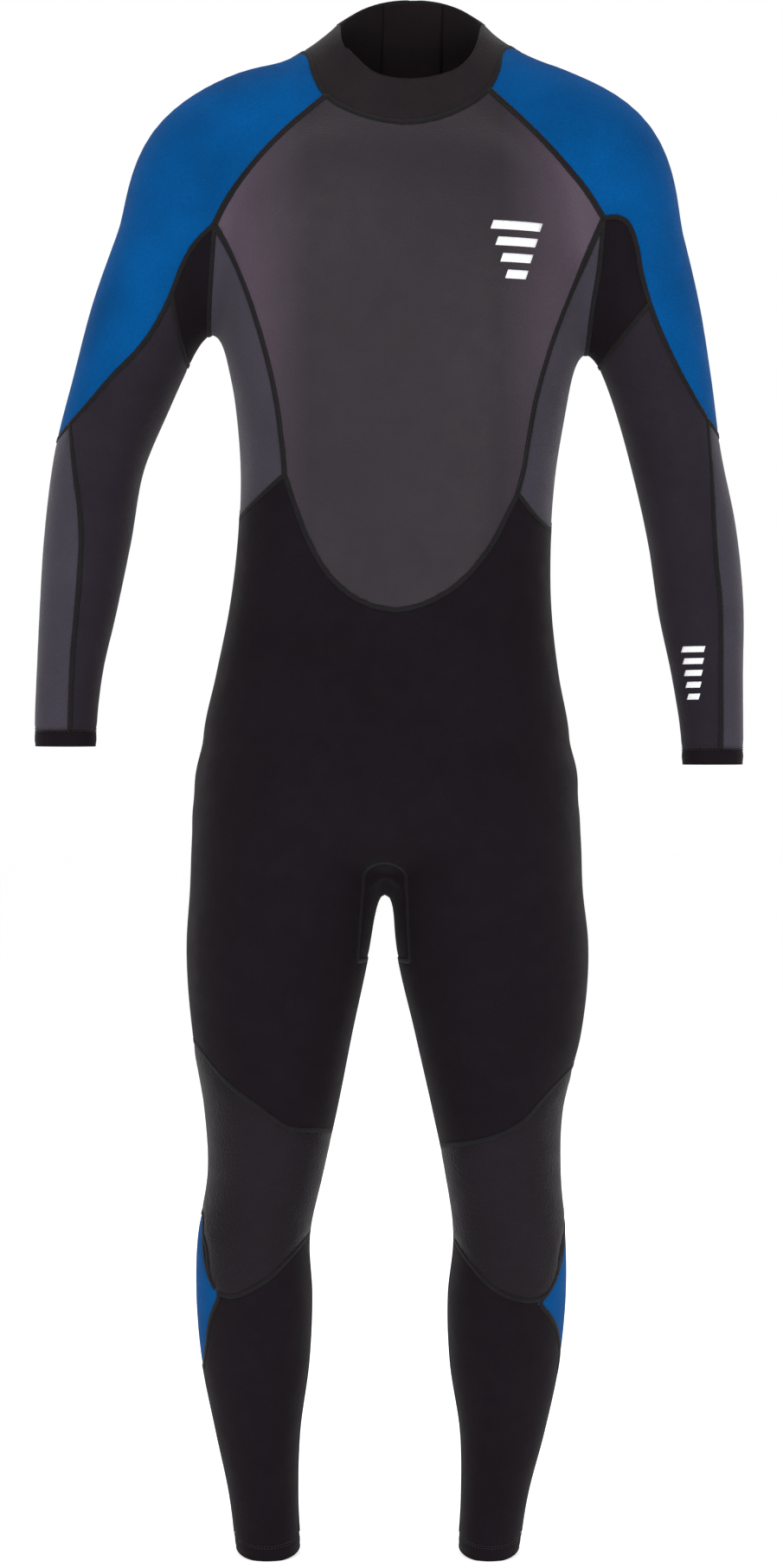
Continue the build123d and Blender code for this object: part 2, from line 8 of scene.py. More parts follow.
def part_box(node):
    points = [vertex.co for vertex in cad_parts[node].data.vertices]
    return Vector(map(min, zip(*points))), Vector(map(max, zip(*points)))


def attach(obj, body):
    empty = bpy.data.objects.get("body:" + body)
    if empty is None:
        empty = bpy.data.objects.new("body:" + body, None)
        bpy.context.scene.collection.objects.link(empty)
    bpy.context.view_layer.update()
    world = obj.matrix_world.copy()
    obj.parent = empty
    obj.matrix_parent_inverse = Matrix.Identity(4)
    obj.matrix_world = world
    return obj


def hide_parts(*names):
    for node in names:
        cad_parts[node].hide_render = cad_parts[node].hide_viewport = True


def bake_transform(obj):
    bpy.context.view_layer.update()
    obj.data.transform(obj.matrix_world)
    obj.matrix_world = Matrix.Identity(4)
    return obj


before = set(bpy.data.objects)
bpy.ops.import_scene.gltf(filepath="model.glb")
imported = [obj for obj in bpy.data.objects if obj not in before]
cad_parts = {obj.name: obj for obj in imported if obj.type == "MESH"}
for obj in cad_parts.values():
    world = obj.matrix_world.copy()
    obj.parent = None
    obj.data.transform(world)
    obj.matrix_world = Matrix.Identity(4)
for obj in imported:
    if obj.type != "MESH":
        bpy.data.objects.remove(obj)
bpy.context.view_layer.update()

# A full wetsuit, filled out as if worn. The suit is drawn here in millimetres in the same drawing
# coordinates as the CAD: -Y out of the chest, +Z up, +X to the wearer's left. One smooth closed form is
# built from slices, meshed, opened at its ends, cut along the seams and given the thickness of the skin.

MM = 0.001
SKIN = 3.0
SIDES = {"left": 1, "right": -1}

# Trunk: height, centre x, centre y, half width, half depth.
TRUNK = [
    (656, -3, 6, 44, 40), (668, -3, 6, 82, 68), (688, -2, 7, 120, 92), (710, -2, 8, 150, 106),
    (738, -2, 8, 172, 113),
    (787, -2, 6, 173, 112), (845, -1, 4, 162, 104), (910, 2, 5, 152, 99), (979, 6, 6, 148, 100),
    (1032, 9, 4, 149, 102), (1100, 12, 1, 157, 105), (1178, 12, -1, 171, 107), (1250, 13, -1, 172, 107),
    (1320, 15, 4, 160, 102), (1370, 18, 14, 134, 92), (1405, 20, 19, 112, 86), (1435, 19, 17, 94, 78),
    (1460, 21, 13, 72, 69), (1500, 22, 8, 67, 65), (1560, 22, 4, 66, 63),
]
LEGS = {
    "right": [
        (830, -60, 4, 30, 40), (800, -70, 4, 62, 72), (765, -82, 4, 84, 92), (728, -91, 5, 92, 101),
        (690, -96, 5, 90, 101), (640, -99, 5, 89, 98), (591, -104, 4, 87, 93),
        (504, -110, 0, 75, 83), (433, -111, -4, 62, 72), (375, -116, -4, 54, 64), (311, -128, 4, 53, 60),
        (255, -128, 16, 55, 60), (189, -127, 26, 51, 54), (120, -125, 33, 40, 45), (60, -120, 40, 33, 40),
        (-30, -113, 52, 31, 38),
    ],
    "left": [
        (830, 56, 4, 30, 40), (800, 66, 4, 62, 72), (765, 79, 4, 84, 92), (728, 87, 5, 91, 101),
        (690, 92, 5, 90, 101), (640, 94, 5, 90, 98), (591, 98, 4, 91, 93),
        (504, 104, 0, 78, 83), (433, 103, -4, 61, 72), (375, 108, -4, 54, 64), (311, 115, 4, 53, 60),
        (255, 113, 16, 56, 60), (189, 111, 26, 52, 54), (120, 109, 33, 40, 45), (60, 102, 40, 32, 40),
        (-30, 93, 52, 29, 38),
    ],
}
ANKLE_TILT = math.radians(11.0)
ANKLE_HEIGHT = 8.5
ANKLE_HEM = 14.0

# Arms: centre x, y, z, half width, half depth.
ARMS = {
    "right": [
        (-50, 13, 1388, 44, 54), (-84, 12, 1376, 52, 59), (-128, 10, 1360, 57, 64), (-170, 8, 1328, 61, 68),
        (-201, 6, 1245, 59, 65),
        (-229, 4, 1180, 54, 60), (-252, 2, 1115, 48, 55), (-273, -1, 1050, 43, 49), (-284, -8, 975, 41, 45),
        (-292, -22, 905, 36, 39), (-298, -36, 850, 31, 33), (-301, -45, 800, 29, 29),
        (-301, -45, 740, 29, 29),
    ],
    "left": [
        (72, 13, 1396, 42, 54), (106, 12, 1384, 51, 59), (150, 10, 1364, 57, 64), (196, 8, 1332, 61, 68),
        (222, 6, 1245, 60, 65),
        (242, 4, 1180, 55, 60), (259, 2, 1115, 48, 55), (272, -1, 1050, 43, 49), (287, -8, 975, 42, 45),
        (294, -22, 905, 40, 41), (299, -36, 840, 33, 34), (302, -47, 785, 29, 29), (302, -47, 720, 29, 29),
    ],
}
CUFFS = {"right": 777.0, "left": 760.0}
CUFF_HEM = 14.0

# Neck rim, seen from the side as points (y, z): lowest at the throat.
RIM = [
    (-90, 1372), (-70, 1394), (-63, 1403), (-53, 1419), (-41, 1436), (-20, 1454), (10, 1463), (43, 1479),
    (60, 1491), (73, 1501), (100, 1516),
]

# Seams, drawn in the front view as points (x, z).
COLLAR_FRONT = [
    (-120, 1444), (-75, 1426), (-71, 1409), (-66, 1394), (-58, 1381), (-40, 1367), (-14, 1355), (20, 1350),
    (42, 1354), (66, 1365), (93, 1387), (102, 1406), (107, 1430), (150, 1448),
]
COLLAR_BACK = [(-120, 1444), (-75, 1426), (-36, 1426), (20, 1426), (74, 1428), (107, 1430), (150, 1448)]
RAGLAN_FRONT = {
    "left": [(93, 1387), (130, 1353), (160, 1322), (185, 1292), (200, 1267)],
    "right": [(-58, 1381), (-100, 1345), (-128, 1315), (-149, 1287), (-162, 1262)],
}
RAGLAN_BACK = {
    "left": [(74, 1428), (112, 1396), (150, 1345), (182, 1295), (200, 1267)],
    "right": [(-36, 1426), (-72, 1393), (-112, 1342), (-146, 1290), (-162, 1262)],
}
CHEST_SIDE = {
    "left": [(200, 1267), (180, 1220), (153, 1152), (137, 1096), (131, 1065), (126, 1033), (120, 1010)],
    "right": [(-162, 1262), (-148, 1236), (-122, 1168), (-103, 1090), (-96, 1027)],
}
CHEST_FOOT = [
    (120, 1010), (114, 998), (95, 961), (67, 927), (39, 909), (13, 901), (-26, 909), (-54, 932),
    (-73, 963), (-85, 994), (-96, 1027),
]
SIDE_PANEL_FOOT = {
    "left": [(120, 1010), (136, 992), (200, 961)],
    "right": [(-96, 1027), (-124, 1005), (-200, 945)],
}
WAIST_BACK = [(-200, 945), (-124, 1005), (-92, 1000), (8, 975), (112, 990), (136, 992), (200, 961)]
SIDE_PANEL_BACK = {
    "left": [(200, 1267), (165, 1200), (128, 1120), (112, 1050), (112, 990)],
    "right": [(-162, 1262), (-135, 1200), (-104, 1120), (-92, 1050), (-92, 1000)],
}
SLEEVE_TOP_FRONT = {
    "left": [
        (200, 1267), (219, 1268), (227, 1254), (236, 1212), (243, 1188), (264, 1139), (281, 1109),
        (300, 1082), (350, 1040),
    ],
    "right": [
        (-162, 1262), (-180, 1244), (-190, 1227), (-202, 1197), (-215, 1170), (-232, 1146),
        (-256, 1122), (-282, 1094), (-340, 1043),
    ],
}
SLEEVE_TOP_BACK = {
    "left": [(200, 1267), (222, 1240), (243, 1188), (262, 1140), (282, 1106), (300, 1082), (350, 1040)],
    "right": [
        (-162, 1262), (-184, 1232), (-202, 1197), (-228, 1140), (-256, 1112), (-282, 1094), (-340, 1043),
    ],
}
ARMHOLE = {
    "left": [(200, 1267), (197, 1225), (191, 1185), (187, 1145)],
    "right": [(-162, 1262), (-165, 1225), (-168, 1190), (-171, 1150)],
}
# Between the arm and the trunk, below the armhole; then how far in the arm's outline comes at the top.
ARM_GAP = {
    "left": [(190, 1100), (207, 1000), (222, 880), (222, 690)],
    "right": [(-176, 1100), (-188, 1000), (-205, 880), (-205, 690)],
}
ARM_GAP_TOP = {"left": 110, "right": -80}
GUSSET_FOOT = {
    "left": [(243, 1188), (200, 1136), (184, 1117)],
    "right": [(-202, 1197), (-191, 1141), (-180, 1112)],
}
FOREARM_FRONT = {
    "left": [(300, 1082), (303, 1030), (304, 982), (305, 954), (308, 920), (308, 829), (307, 750)],
    "right": [(-299, 1079), (-293, 1032), (-288, 998), (-286, 973), (-287, 942), (-293, 852), (-295, 760)],
}
FOREARM_BACK = {
    "left": [(300, 1082), (302, 1000), (304, 940), (306, 850), (306, 750)],
    "right": [(-295, 1083), (-290, 1000), (-292, 940), (-298, 850), (-299, 760)],
}
KNEE_TOP_FRONT = {
    "left": [(225, 505), (171, 473), (143, 448), (127, 430), (94, 413), (70, 407), (48, 400), (25, 392)],
    "right": [
        (-235, 530), (-183, 498), (-151, 465), (-116, 439), (-94, 423), (-65, 418), (-53, 414), (-25, 405),
    ],
}
KNEE_FOOT_FRONT = {
    "left": [
        (205, 342), (167, 318), (158, 278), (151, 264), (140, 258), (116, 261), (94, 273),
        (73, 296), (61, 311), (35, 335),
    ],
    "right": [
        (-215, 345), (-174, 316), (-165, 272), (-158, 263), (-143, 262), (-131, 268), (-112, 279),
        (-100, 290), (-76, 314), (-50, 335),
    ],
}
KNEE_TOP_BACK = {
    "left": [(225, 450), (103, 430), (20, 440)],
    "right": [(-235, 450), (-110, 430), (-20, 440)],
}
KNEE_FOOT_BACK = {
    "left": [(205, 342), (113, 322), (35, 335)],
    "right": [(-215, 342), (-125, 322), (-50, 335)],
}
CALF_FRONT = {
    "left": [
        (240, 341), (167, 336), (164, 296), (158, 277), (151, 264), (140, 255), (149, 245), (158, 230),
        (162, 215), (163, 194), (162, 178), (240, 178),
    ],
    "right": [
        (-240, 341), (-175, 336), (-171, 285), (-165, 270), (-158, 261), (-163, 251), (-169, 233),
        (-172, 212), (-175, 197), (-176, 185), (-240, 185),
    ],
}
CALF_BACK = {
    "left": [
        (240, 341), (167, 336), (140, 318), (122, 285), (118, 250), (130, 215), (150, 188), (162, 178),
        (240, 178),
    ],
    "right": [
        (-240, 341), (-175, 336), (-150, 318), (-132, 285), (-128, 250), (-140, 215), (-160, 192),
        (-176, 185), (-240, 185),
    ],
}
CALF_TIP = {"left": 5, "right": 4}  # the sharp point of CALF_FRONT
LEG_SIDE_LINE = [(4, 995), (6, 650), (1, 504), (-2, 410), (4, 320), (20, 240), (33, 120), (54, -40)]
CALF_SIDE_Y = 20.0
FOREARM_SIDE_Y = -25.0
SIDE_Y = 4.0
CROTCH_X = -4.0
GUSSET_CENTRE = (-4.0, 10.0)
GUSSET_HALF = (34.0, 72.0)
GUSSET_LOW = 575.0
GUSSET_HIGH = 700.0

ZIP_TOP = (20.6, 1385.0)
ZIP_BOTTOM = (8.0, 985.0)
CHAIN_GAP = 9.0
BACK_FACE = 106.0
TAB_CORNER = 9.0

CELL = 5.0  # size of the grid that the form is meshed on
NET_BOX = ((-350, -125, -25), (350, 140, 1530))

# How widely the parts of the form run into one another.
MELT_LEGS = 7
MELT_HIPS = 24
MELT_SEAT = 36
MELT_ARMS = 34

# The two rounds of the seat: centres, radius, and how much they are stretched upward.
SEAT = ((-76, 38, 716), (72, 38, 716))
SEAT_RADIUS = 84
SEAT_STRETCH = 0.88


# ---------------------------------------------------------------- the form of the suit


def hermite(knots, values, at):
    """A smooth curve through the values at the knots, read at many places."""
    knots = np.asarray(knots, float)
    values = np.asarray(values, float)
    slopes = np.gradient(values, knots, axis=0)
    i = np.clip(np.searchsorted(knots, at) - 1, 0, len(knots) - 2)
    span = knots[i + 1] - knots[i]
    t = np.clip((at - knots[i]) / span, 0, 1)[:, None]
    span = span[:, None]
    t2, t3 = t * t, t * t * t
    return (
        (2 * t3 - 3 * t2 + 1) * values[i]
        + (t3 - 2 * t2 + t) * span * slopes[i]
        + (3 * t2 - 2 * t3) * values[i + 1]
        + (t3 - t2) * span * slopes[i + 1]
    )


def run_of(line):
    """How far along a line each of its points is."""
    return np.r_[0, np.cumsum(np.linalg.norm(np.diff(line, axis=0), axis=1))]


def read_at(at, run, rows):
    """Rows of numbers read at distances along a line."""
    return np.stack([np.interp(at, run, column) for column in rows.T], 1)


def unit(rows):
    return rows / np.maximum(np.linalg.norm(rows, axis=1), 1e-9)[:, None]


def edges_of(triangles):
    return np.concatenate([triangles[:, [0, 1]], triangles[:, [1, 2]], triangles[:, [2, 0]]])


def oval(across, deep, half_width, half_depth, power):
    """About how far outside an oval a point is, in millimetres. A power over 2 squares the oval off."""
    a = np.abs(across) / half_width
    b = np.abs(deep) / half_depth
    reach = np.maximum((a**power + b**power) ** (1 / power), 0.05)
    steep = np.hypot(a ** (power - 1) / half_width, b ** (power - 1) / half_depth) / reach ** (power - 1)
    return (reach - 1) / np.maximum(steep, 1e-4)


def melt(a, b, width):
    """The union of two forms, with the crease between them filled over the given width."""
    near = np.maximum(width - np.abs(a - b), 0) / width
    return np.minimum(a, b) - near * near * width / 4


def slices(points, rows, power):
    """A form drawn as ovals at the heights of its rows."""
    rows = sorted(rows)
    table = hermite([r[0] for r in rows], [r[1:] for r in rows], points[:, 2])
    return oval(points[:, 0] - table[:, 0], points[:, 1] - table[:, 1], table[:, 2], table[:, 3], power)


def trunk_form(points):
    z = points[:, 2]
    middle = np.clip((z - 700) / 150, 0, 1) * np.clip((1400 - z) / 120, 0, 1)  # squarer than at the ends
    return np.maximum(slices(points, TRUNK, 2.0 + 0.35 * middle), TRUNK[0][0] - z)


def leg_form(points, side):
    rows = LEGS[side]
    return np.maximum(slices(points, rows, 2.0), points[:, 2] - rows[0][0])


ARM_STEPS = 90
BATCH = 150000  # points measured at a time, to spare memory


def arm_path(side):
    """The arm's middle line as many short steps: x, y, z, half width, half depth."""
    rows = np.array(ARMS[side], float)
    run = run_of(rows[:, :3])
    return hermite(run, rows, np.linspace(0, run[-1], ARM_STEPS))


ARM_PATHS = {side: arm_path(side) for side in SIDES}


def arm_form(points, side):
    """Distance from the arm, measured square to its middle line in the front view."""
    path = ARM_PATHS[side]
    result = np.full(len(points), 500.0)
    close = np.flatnonzero(points[:, 0] * SIDES[side] > 40)
    start, step = path[:-1, [0, 2]], np.diff(path[:, [0, 2]], axis=0)
    for first in range(0, len(close), BATCH):
        chosen = close[first : first + BATCH]
        p = points[chosen][:, [0, 2]]
        along = np.einsum("nsc,sc->ns", p[:, None] - start, step) / (step**2).sum(1)
        along = np.clip(along, 0, 1)
        apart = p[:, None] - start - along[..., None] * step
        gap = (apart**2).sum(2)
        best = gap.argmin(1)
        n = np.arange(len(chosen))
        row = path[best] + (path[best + 1] - path[best]) * along[n, best][:, None]
        across = np.sqrt(gap[n, best])
        result[chosen] = oval(across, points[chosen, 1] - row[:, 1], row[:, 3], row[:, 4], 2.0)
    return result


def form(points):
    """Distance outside the whole suit, in millimetres. Below zero is inside."""
    legs = melt(leg_form(points, "left"), leg_form(points, "right"), MELT_LEGS)
    body = melt(trunk_form(points), legs, MELT_HIPS)
    for centre in SEAT:
        apart = (points - centre) * [1, 1, SEAT_STRETCH]
        body = melt(body, np.sqrt((apart**2).sum(1)) - SEAT_RADIUS, MELT_SEAT)
    for side in SIDES:
        body = melt(body, arm_form(points, side), MELT_ARMS)
    return body


def slope(points, step=0.5):
    """Which way is out, and how steep the form is there."""
    out = np.zeros_like(points)
    for axis in range(3):
        move = np.zeros(3)
        move[axis] = step
        out[:, axis] = (form(points + move) - form(points - move)) / (2 * step)
    return out


def settle(points, times=2):
    """Move points onto the surface of the form."""
    for _ in range(times):
        out = slope(points)
        points = points - out * (form(points) / np.maximum((out**2).sum(1), 0.05))[:, None]
    return points


def outward(points):
    out = slope(points, 1.5)
    return out / np.linalg.norm(out, axis=1)[:, None]


def net(low, high, cell):
    """A mesh of the form's surface on a regular grid: points and triangles."""
    axes = [np.arange(a, b + cell, cell) for a, b in zip(low, high)]
    shape = tuple(len(a) for a in axes)
    grid = np.stack(np.meshgrid(*axes, indexing="ij"), -1).reshape(-1, 3)
    values = np.concatenate([form(part) for part in np.array_split(grid, 12)]).reshape(shape)
    inside = values < 0
    cells = tuple(n - 1 for n in shape)
    total = np.zeros(cells + (3,))
    count = np.zeros(cells)
    corners = [(i, j, k) for i in (0, 1) for j in (0, 1) for k in (0, 1)]
    for a in corners:
        for axis in range(3):
            if a[axis]:
                continue
            b = tuple(1 if n == axis else a[n] for n in range(3))
            cut_a = tuple(slice(o, o + n) for o, n in zip(a, cells))
            cut_b = tuple(slice(o, o + n) for o, n in zip(b, cells))
            crosses = inside[cut_a] != inside[cut_b]
            va, vb = values[cut_a], values[cut_b]
            t = np.where(crosses, va / np.where(crosses, va - vb, 1), 0)
            for n in range(3):
                total[..., n] += np.where(crosses, a[n] + (t if n == axis else 0), 0)
            count += crosses
    used = count > 0
    number = np.full(cells, -1)
    number[used] = np.arange(used.sum())
    place = np.argwhere(used) + total[used] / count[used][:, None]
    points = np.array(low) + place * cell
    quads = []
    for axis in range(3):
        b, c = [n for n in range(3) if n != axis]
        here = [slice(1, shape[n] - 1) for n in range(3)]
        here[axis] = slice(0, shape[axis] - 1)
        there = list(here)
        there[axis] = slice(1, shape[axis])
        first, second = inside[tuple(here)], inside[tuple(there)]
        spots = np.argwhere(first != second)
        flips = first[first != second]
        offset = np.array([0 if n == axis else 1 for n in range(3)])
        base = spots + offset
        ring = []
        for db, dc in ((1, 1), (0, 1), (0, 0), (1, 0)):
            cell_at = base.copy()
            cell_at[:, b] -= db
            cell_at[:, c] -= dc
            ring.append(number[tuple(cell_at.T)])
        ring = np.stack(ring, 1)
        turn = flips if axis != 1 else ~flips
        ring[~turn] = ring[~turn][:, ::-1]
        quads.append(ring)
    quads = np.concatenate(quads)
    short = np.linalg.norm(points[quads[:, 0]] - points[quads[:, 2]], axis=1)
    other = np.linalg.norm(points[quads[:, 1]] - points[quads[:, 3]], axis=1)
    quads[short > other] = np.roll(quads[short > other], 1, axis=1)
    return points, np.concatenate([quads[:, [0, 1, 2]], quads[:, [0, 2, 3]]])


def relax(points, triangles, times):
    """Even out the mesh along the surface."""
    edges = edges_of(triangles)
    for _ in range(times):
        total = np.zeros_like(points)
        count = np.zeros(len(points))
        for a, b in ((0, 1), (1, 0)):
            np.add.at(total, edges[:, a], points[edges[:, b]])
            np.add.at(count, edges[:, a], 1)
        points = settle(0.4 * points + 0.6 * total / count[:, None], 1)
    return points


# ---------------------------------------------------------------- cutting along the seams


def smooth_line(points, per_run=8):
    """A smooth line through the points."""
    p = np.array(points, float)
    if len(p) < 3:
        return p
    run = run_of(p)
    return hermite(run, p, np.linspace(0, run[-1], per_run * (len(p) - 1) + 1))


def beside(points, line):
    """Signed distance from a line in the plane, and whether the nearest spot is within its length."""
    start, step = line[:-1], np.diff(line, axis=0)
    signed = np.zeros(len(points))
    within = np.zeros(len(points), bool)
    for first in range(0, len(points), BATCH):
        p = points[first : first + BATCH]
        rel = p[:, None] - start
        along = np.einsum("nsc,sc->ns", rel, step) / (step**2).sum(1)
        held = np.clip(along, 0, 1)
        apart = rel - held[..., None] * step
        gap = (apart**2).sum(2)
        best = gap.argmin(1)
        n = np.arange(len(p))
        turn = step[best, 0] * rel[n, best, 1] - step[best, 1] * rel[n, best, 0]
        signed[first : first + BATCH] = np.sqrt(gap[n, best]) * np.sign(turn)
        off_end = ((best == 0) & (along[n, 0] < -0.05)) | ((best == len(step) - 1) & (along[n, -1] > 1.05))
        within[first : first + BATCH] = ~off_end
    return signed, within


def inside_outline(points, outline):
    """Whether each point is inside a closed outline in the plane."""
    x, z = points[:, 0], points[:, 1]
    result = np.zeros(len(points), bool)
    for (x1, z1), (x2, z2) in zip(outline, np.roll(outline, -1, axis=0)):
        spans = (z1 > z) != (z2 > z)
        if z1 != z2:
            result ^= spans & (x < (x2 - x1) * (z - z1) / (z2 - z1) + x1)
    return result


class Skin:
    """The whole suit as one mesh, which is split along lines without cracks."""

    def __init__(self, points, triangles):
        self.p = points
        self.t = triangles

    def split(self, values, chosen):
        """Split the edges of the chosen triangles where the values change sign."""
        t = self.t
        edges = np.sort(np.stack([t[:, [0, 1]], t[:, [1, 2]], t[:, [2, 0]]], 1), axis=2)
        keys = edges[..., 0].astype(np.int64) * len(self.p) + edges[..., 1]
        unique, back = np.unique(keys, return_inverse=True)
        back = back.reshape(keys.shape)
        a, b = unique // len(self.p), unique % len(self.p)
        crossing = values[a] * values[b] < 0
        wanted = np.zeros(len(unique), bool)
        wanted[back[chosen].ravel()] = True
        crossing &= wanted
        number = np.full(len(unique), -1)
        number[crossing] = len(self.p) + np.arange(crossing.sum())
        a, b = a[crossing], b[crossing]
        share = values[a] / (values[a] - values[b])
        fresh = self.p[a] + (self.p[b] - self.p[a]) * share[:, None]
        self.p = np.concatenate([self.p, settle(fresh, 1)])
        middle = number[back]
        count = (middle >= 0).sum(1)
        result = [t[count == 0]]
        for turn in range(3):
            v = np.roll(t, -turn, axis=1)
            m = np.roll(middle, -turn, axis=1)
            one = (count == 1) & (m[:, 0] >= 0)
            result.append(np.stack([v[one, 0], m[one, 0], v[one, 2]], 1))
            result.append(np.stack([m[one, 0], v[one, 1], v[one, 2]], 1))
            two = (count == 2) & (m[:, 1] < 0)
            result.append(np.stack([v[two, 0], m[two, 0], m[two, 2]], 1))
            result.append(np.stack([m[two, 0], v[two, 1], v[two, 2]], 1))
            result.append(np.stack([m[two, 0], v[two, 2], m[two, 2]], 1))
        all_three = count == 3
        v, m = t[all_three], middle[all_three]
        result += [
            np.stack([v[:, 0], m[:, 0], m[:, 2]], 1), np.stack([v[:, 1], m[:, 1], m[:, 0]], 1),
            np.stack([v[:, 2], m[:, 2], m[:, 1]], 1), m,
        ]
        self.t = np.concatenate(result)

    def middles(self):
        return self.p[self.t].mean(1)

    def cut_line(self, line, low_y, high_y):
        """Split along a line drawn in the front view, where the surface is between two depths."""
        line = np.asarray(line, float)
        low, high = line.min(0) - 25, line.max(0) + 25
        flat = self.p[:, [0, 2]]
        near = ((flat > low) & (flat < high)).all(1)
        near &= (self.p[:, 1] > low_y - 3) & (self.p[:, 1] < high_y + 3)
        index = np.flatnonzero(near)
        values = np.full(len(self.p), 50.0)
        ok = np.zeros(len(self.p), bool)
        signed, within = beside(flat[index], line)
        values[index], ok[index] = signed, within
        snap = index[(np.abs(signed) < 0.22 * CELL) & within]
        if len(snap):
            ahead, _ = beside(flat[snap] + [0.2, 0], line)
            above, _ = beside(flat[snap] + [0, 0.2], line)
            step = np.stack([ahead - values[snap], above - values[snap]], 1) / 0.2
            facing = np.abs(outward(self.p[snap])[:, 1]) > 0.35
            snap, step = snap[facing], step[facing]
            self.p[snap, 0] -= values[snap] * step[:, 0]
            self.p[snap, 2] -= values[snap] * step[:, 1]
            self.p[snap] = settle(self.p[snap], 1)
            values[snap] = 0.0
        middle = self.middles()
        chosen = ok[self.t].any(1) & near[self.t].all(1) & (middle[:, 1] > low_y) & (middle[:, 1] < high_y)
        self.split(values, chosen)

    def cut_values(self, function, chosen):
        """Split where a function of the points changes sign, in the triangles chosen by their middles."""
        values = function(self.p)
        values[np.abs(values) < 0.02] = 0.0
        self.split(values, chosen(self.middles()))


def leg_side(z):
    """Where the front of a leg turns into its back, at each height."""
    line = np.array(sorted(LEG_SIDE_LINE, key=lambda row: row[1]), float)
    return np.interp(z, line[:, 1], line[:, 0])


def ankle_value(points, side, above=0.0):
    """Distance above the plane of an ankle's edge."""
    last = LEGS[side][-1]
    normal = np.array([0, -math.sin(ANKLE_TILT), math.cos(ANKLE_TILT)])
    return (points - [last[1], last[2] - 6, ANKLE_HEIGHT]) @ normal - above


def rim_value(points):
    """Height above the neck rim."""
    line = np.array(RIM, float)
    height = hermite(line[:, 0], line[:, 1:], points[:, 1])[:, 0]
    return points[:, 2] - height


def zip_line(z):
    """The middle of the zip at each height."""
    share = (z - ZIP_BOTTOM[1]) / (ZIP_TOP[1] - ZIP_BOTTOM[1])
    return ZIP_BOTTOM[0] + share * (ZIP_TOP[0] - ZIP_BOTTOM[0])


def gusset_value(points):
    """Below zero inside the oval of the crotch gusset, seen from below."""
    across = (points[:, 0] - GUSSET_CENTRE[0]) / GUSSET_HALF[0]
    deep = (points[:, 1] - GUSSET_CENTRE[1]) / GUSSET_HALF[1]
    return (np.hypot(across, deep) - 1) * 30


def outlines():
    """The closed outlines that say which panel a spot is in."""
    s = smooth_line
    result = {
        "collar_front": np.concatenate([s(COLLAR_FRONT), [(150, 1700), (-120, 1700)]]),
        "collar_back": np.concatenate([s(COLLAR_BACK), [(150, 1700), (-120, 1700)]]),
        "chest": np.concatenate([
            s(CHEST_SIDE["left"]), s(CHEST_FOOT)[1:], s(CHEST_SIDE["right"])[::-1][1:],
            s(RAGLAN_FRONT["right"])[::-1][1:], [(20, 1500)], s(RAGLAN_FRONT["left"])[:-1],
        ]),
    }
    for side, sign in SIDES.items():
        gap = ARM_GAP[side] + [(600 * sign, 690), (600 * sign, 1700), (ARM_GAP_TOP[side], 1700)]
        for face, raglan in (("front", RAGLAN_FRONT), ("back", RAGLAN_BACK)):
            result[f"arm_{face}_{side}"] = np.concatenate([s(raglan[side]), s(ARMHOLE[side])[1:], gap])
        for face, top in (("front", SLEEVE_TOP_FRONT), ("back", SLEEVE_TOP_BACK)):
            far = [(600 * sign, 1040), (600 * sign, 1800), (0, 1800), (0, 1300)]
            result[f"shoulder_{face}_{side}"] = np.concatenate([s(top[side]), far])
        for face, line in (("front", FOREARM_FRONT), ("back", FOREARM_BACK)):
            far = [(600 * sign, 700), (600 * sign, 1200), (line[side][0][0], 1200)]
            result[f"forearm_{face}_{side}"] = np.concatenate([s(line[side]), far])
        far = [(60 * sign, 1117), (60 * sign, 1500), (500 * sign, 1500), (500 * sign, 1188)]
        result[f"gusset_{side}"] = np.concatenate([s(GUSSET_FOOT[side]), far])
        foot = SIDE_PANEL_FOOT[side]
        above = [(300 * sign, foot[-1][1]), (300 * sign, 1500), (0, 1500), (0, foot[0][1])]
        result[f"side_foot_{side}"] = np.concatenate([s(foot), above])
        far = [(SIDE_PANEL_BACK[side][-1][0], 900), (600 * sign, 900), (600 * sign, 1267)]
        result[f"side_back_{side}"] = np.concatenate([s(SIDE_PANEL_BACK[side]), far])
        for face, top, foot in (
            ("front", KNEE_TOP_FRONT, KNEE_FOOT_FRONT), ("back", KNEE_TOP_BACK, KNEE_FOOT_BACK),
        ):
            result[f"knee_{face}_{side}"] = np.concatenate([s(top[side]), s(foot[side])[::-1]])
            below = [(foot[side][-1][0], -200), (foot[side][0][0], -200)]
            result[f"shin_{face}_{side}"] = np.concatenate([s(foot[side]), below])
        calf, tip = CALF_FRONT[side], CALF_TIP[side]
        rear = s(calf[1 : tip + 1]), s(calf[tip:-1])[1:]
        result[f"calf_front_{side}"] = np.concatenate([calf[:1], *rear, calf[-1:]])
        calf = CALF_BACK[side]
        result[f"calf_back_{side}"] = np.concatenate([calf[:1], s(calf[1:-1]), calf[-1:]])
    result["below_waist_back"] = np.concatenate([s(WAIST_BACK), [(200, 800), (-200, 800)]])
    return result


OUTLINES = outlines()


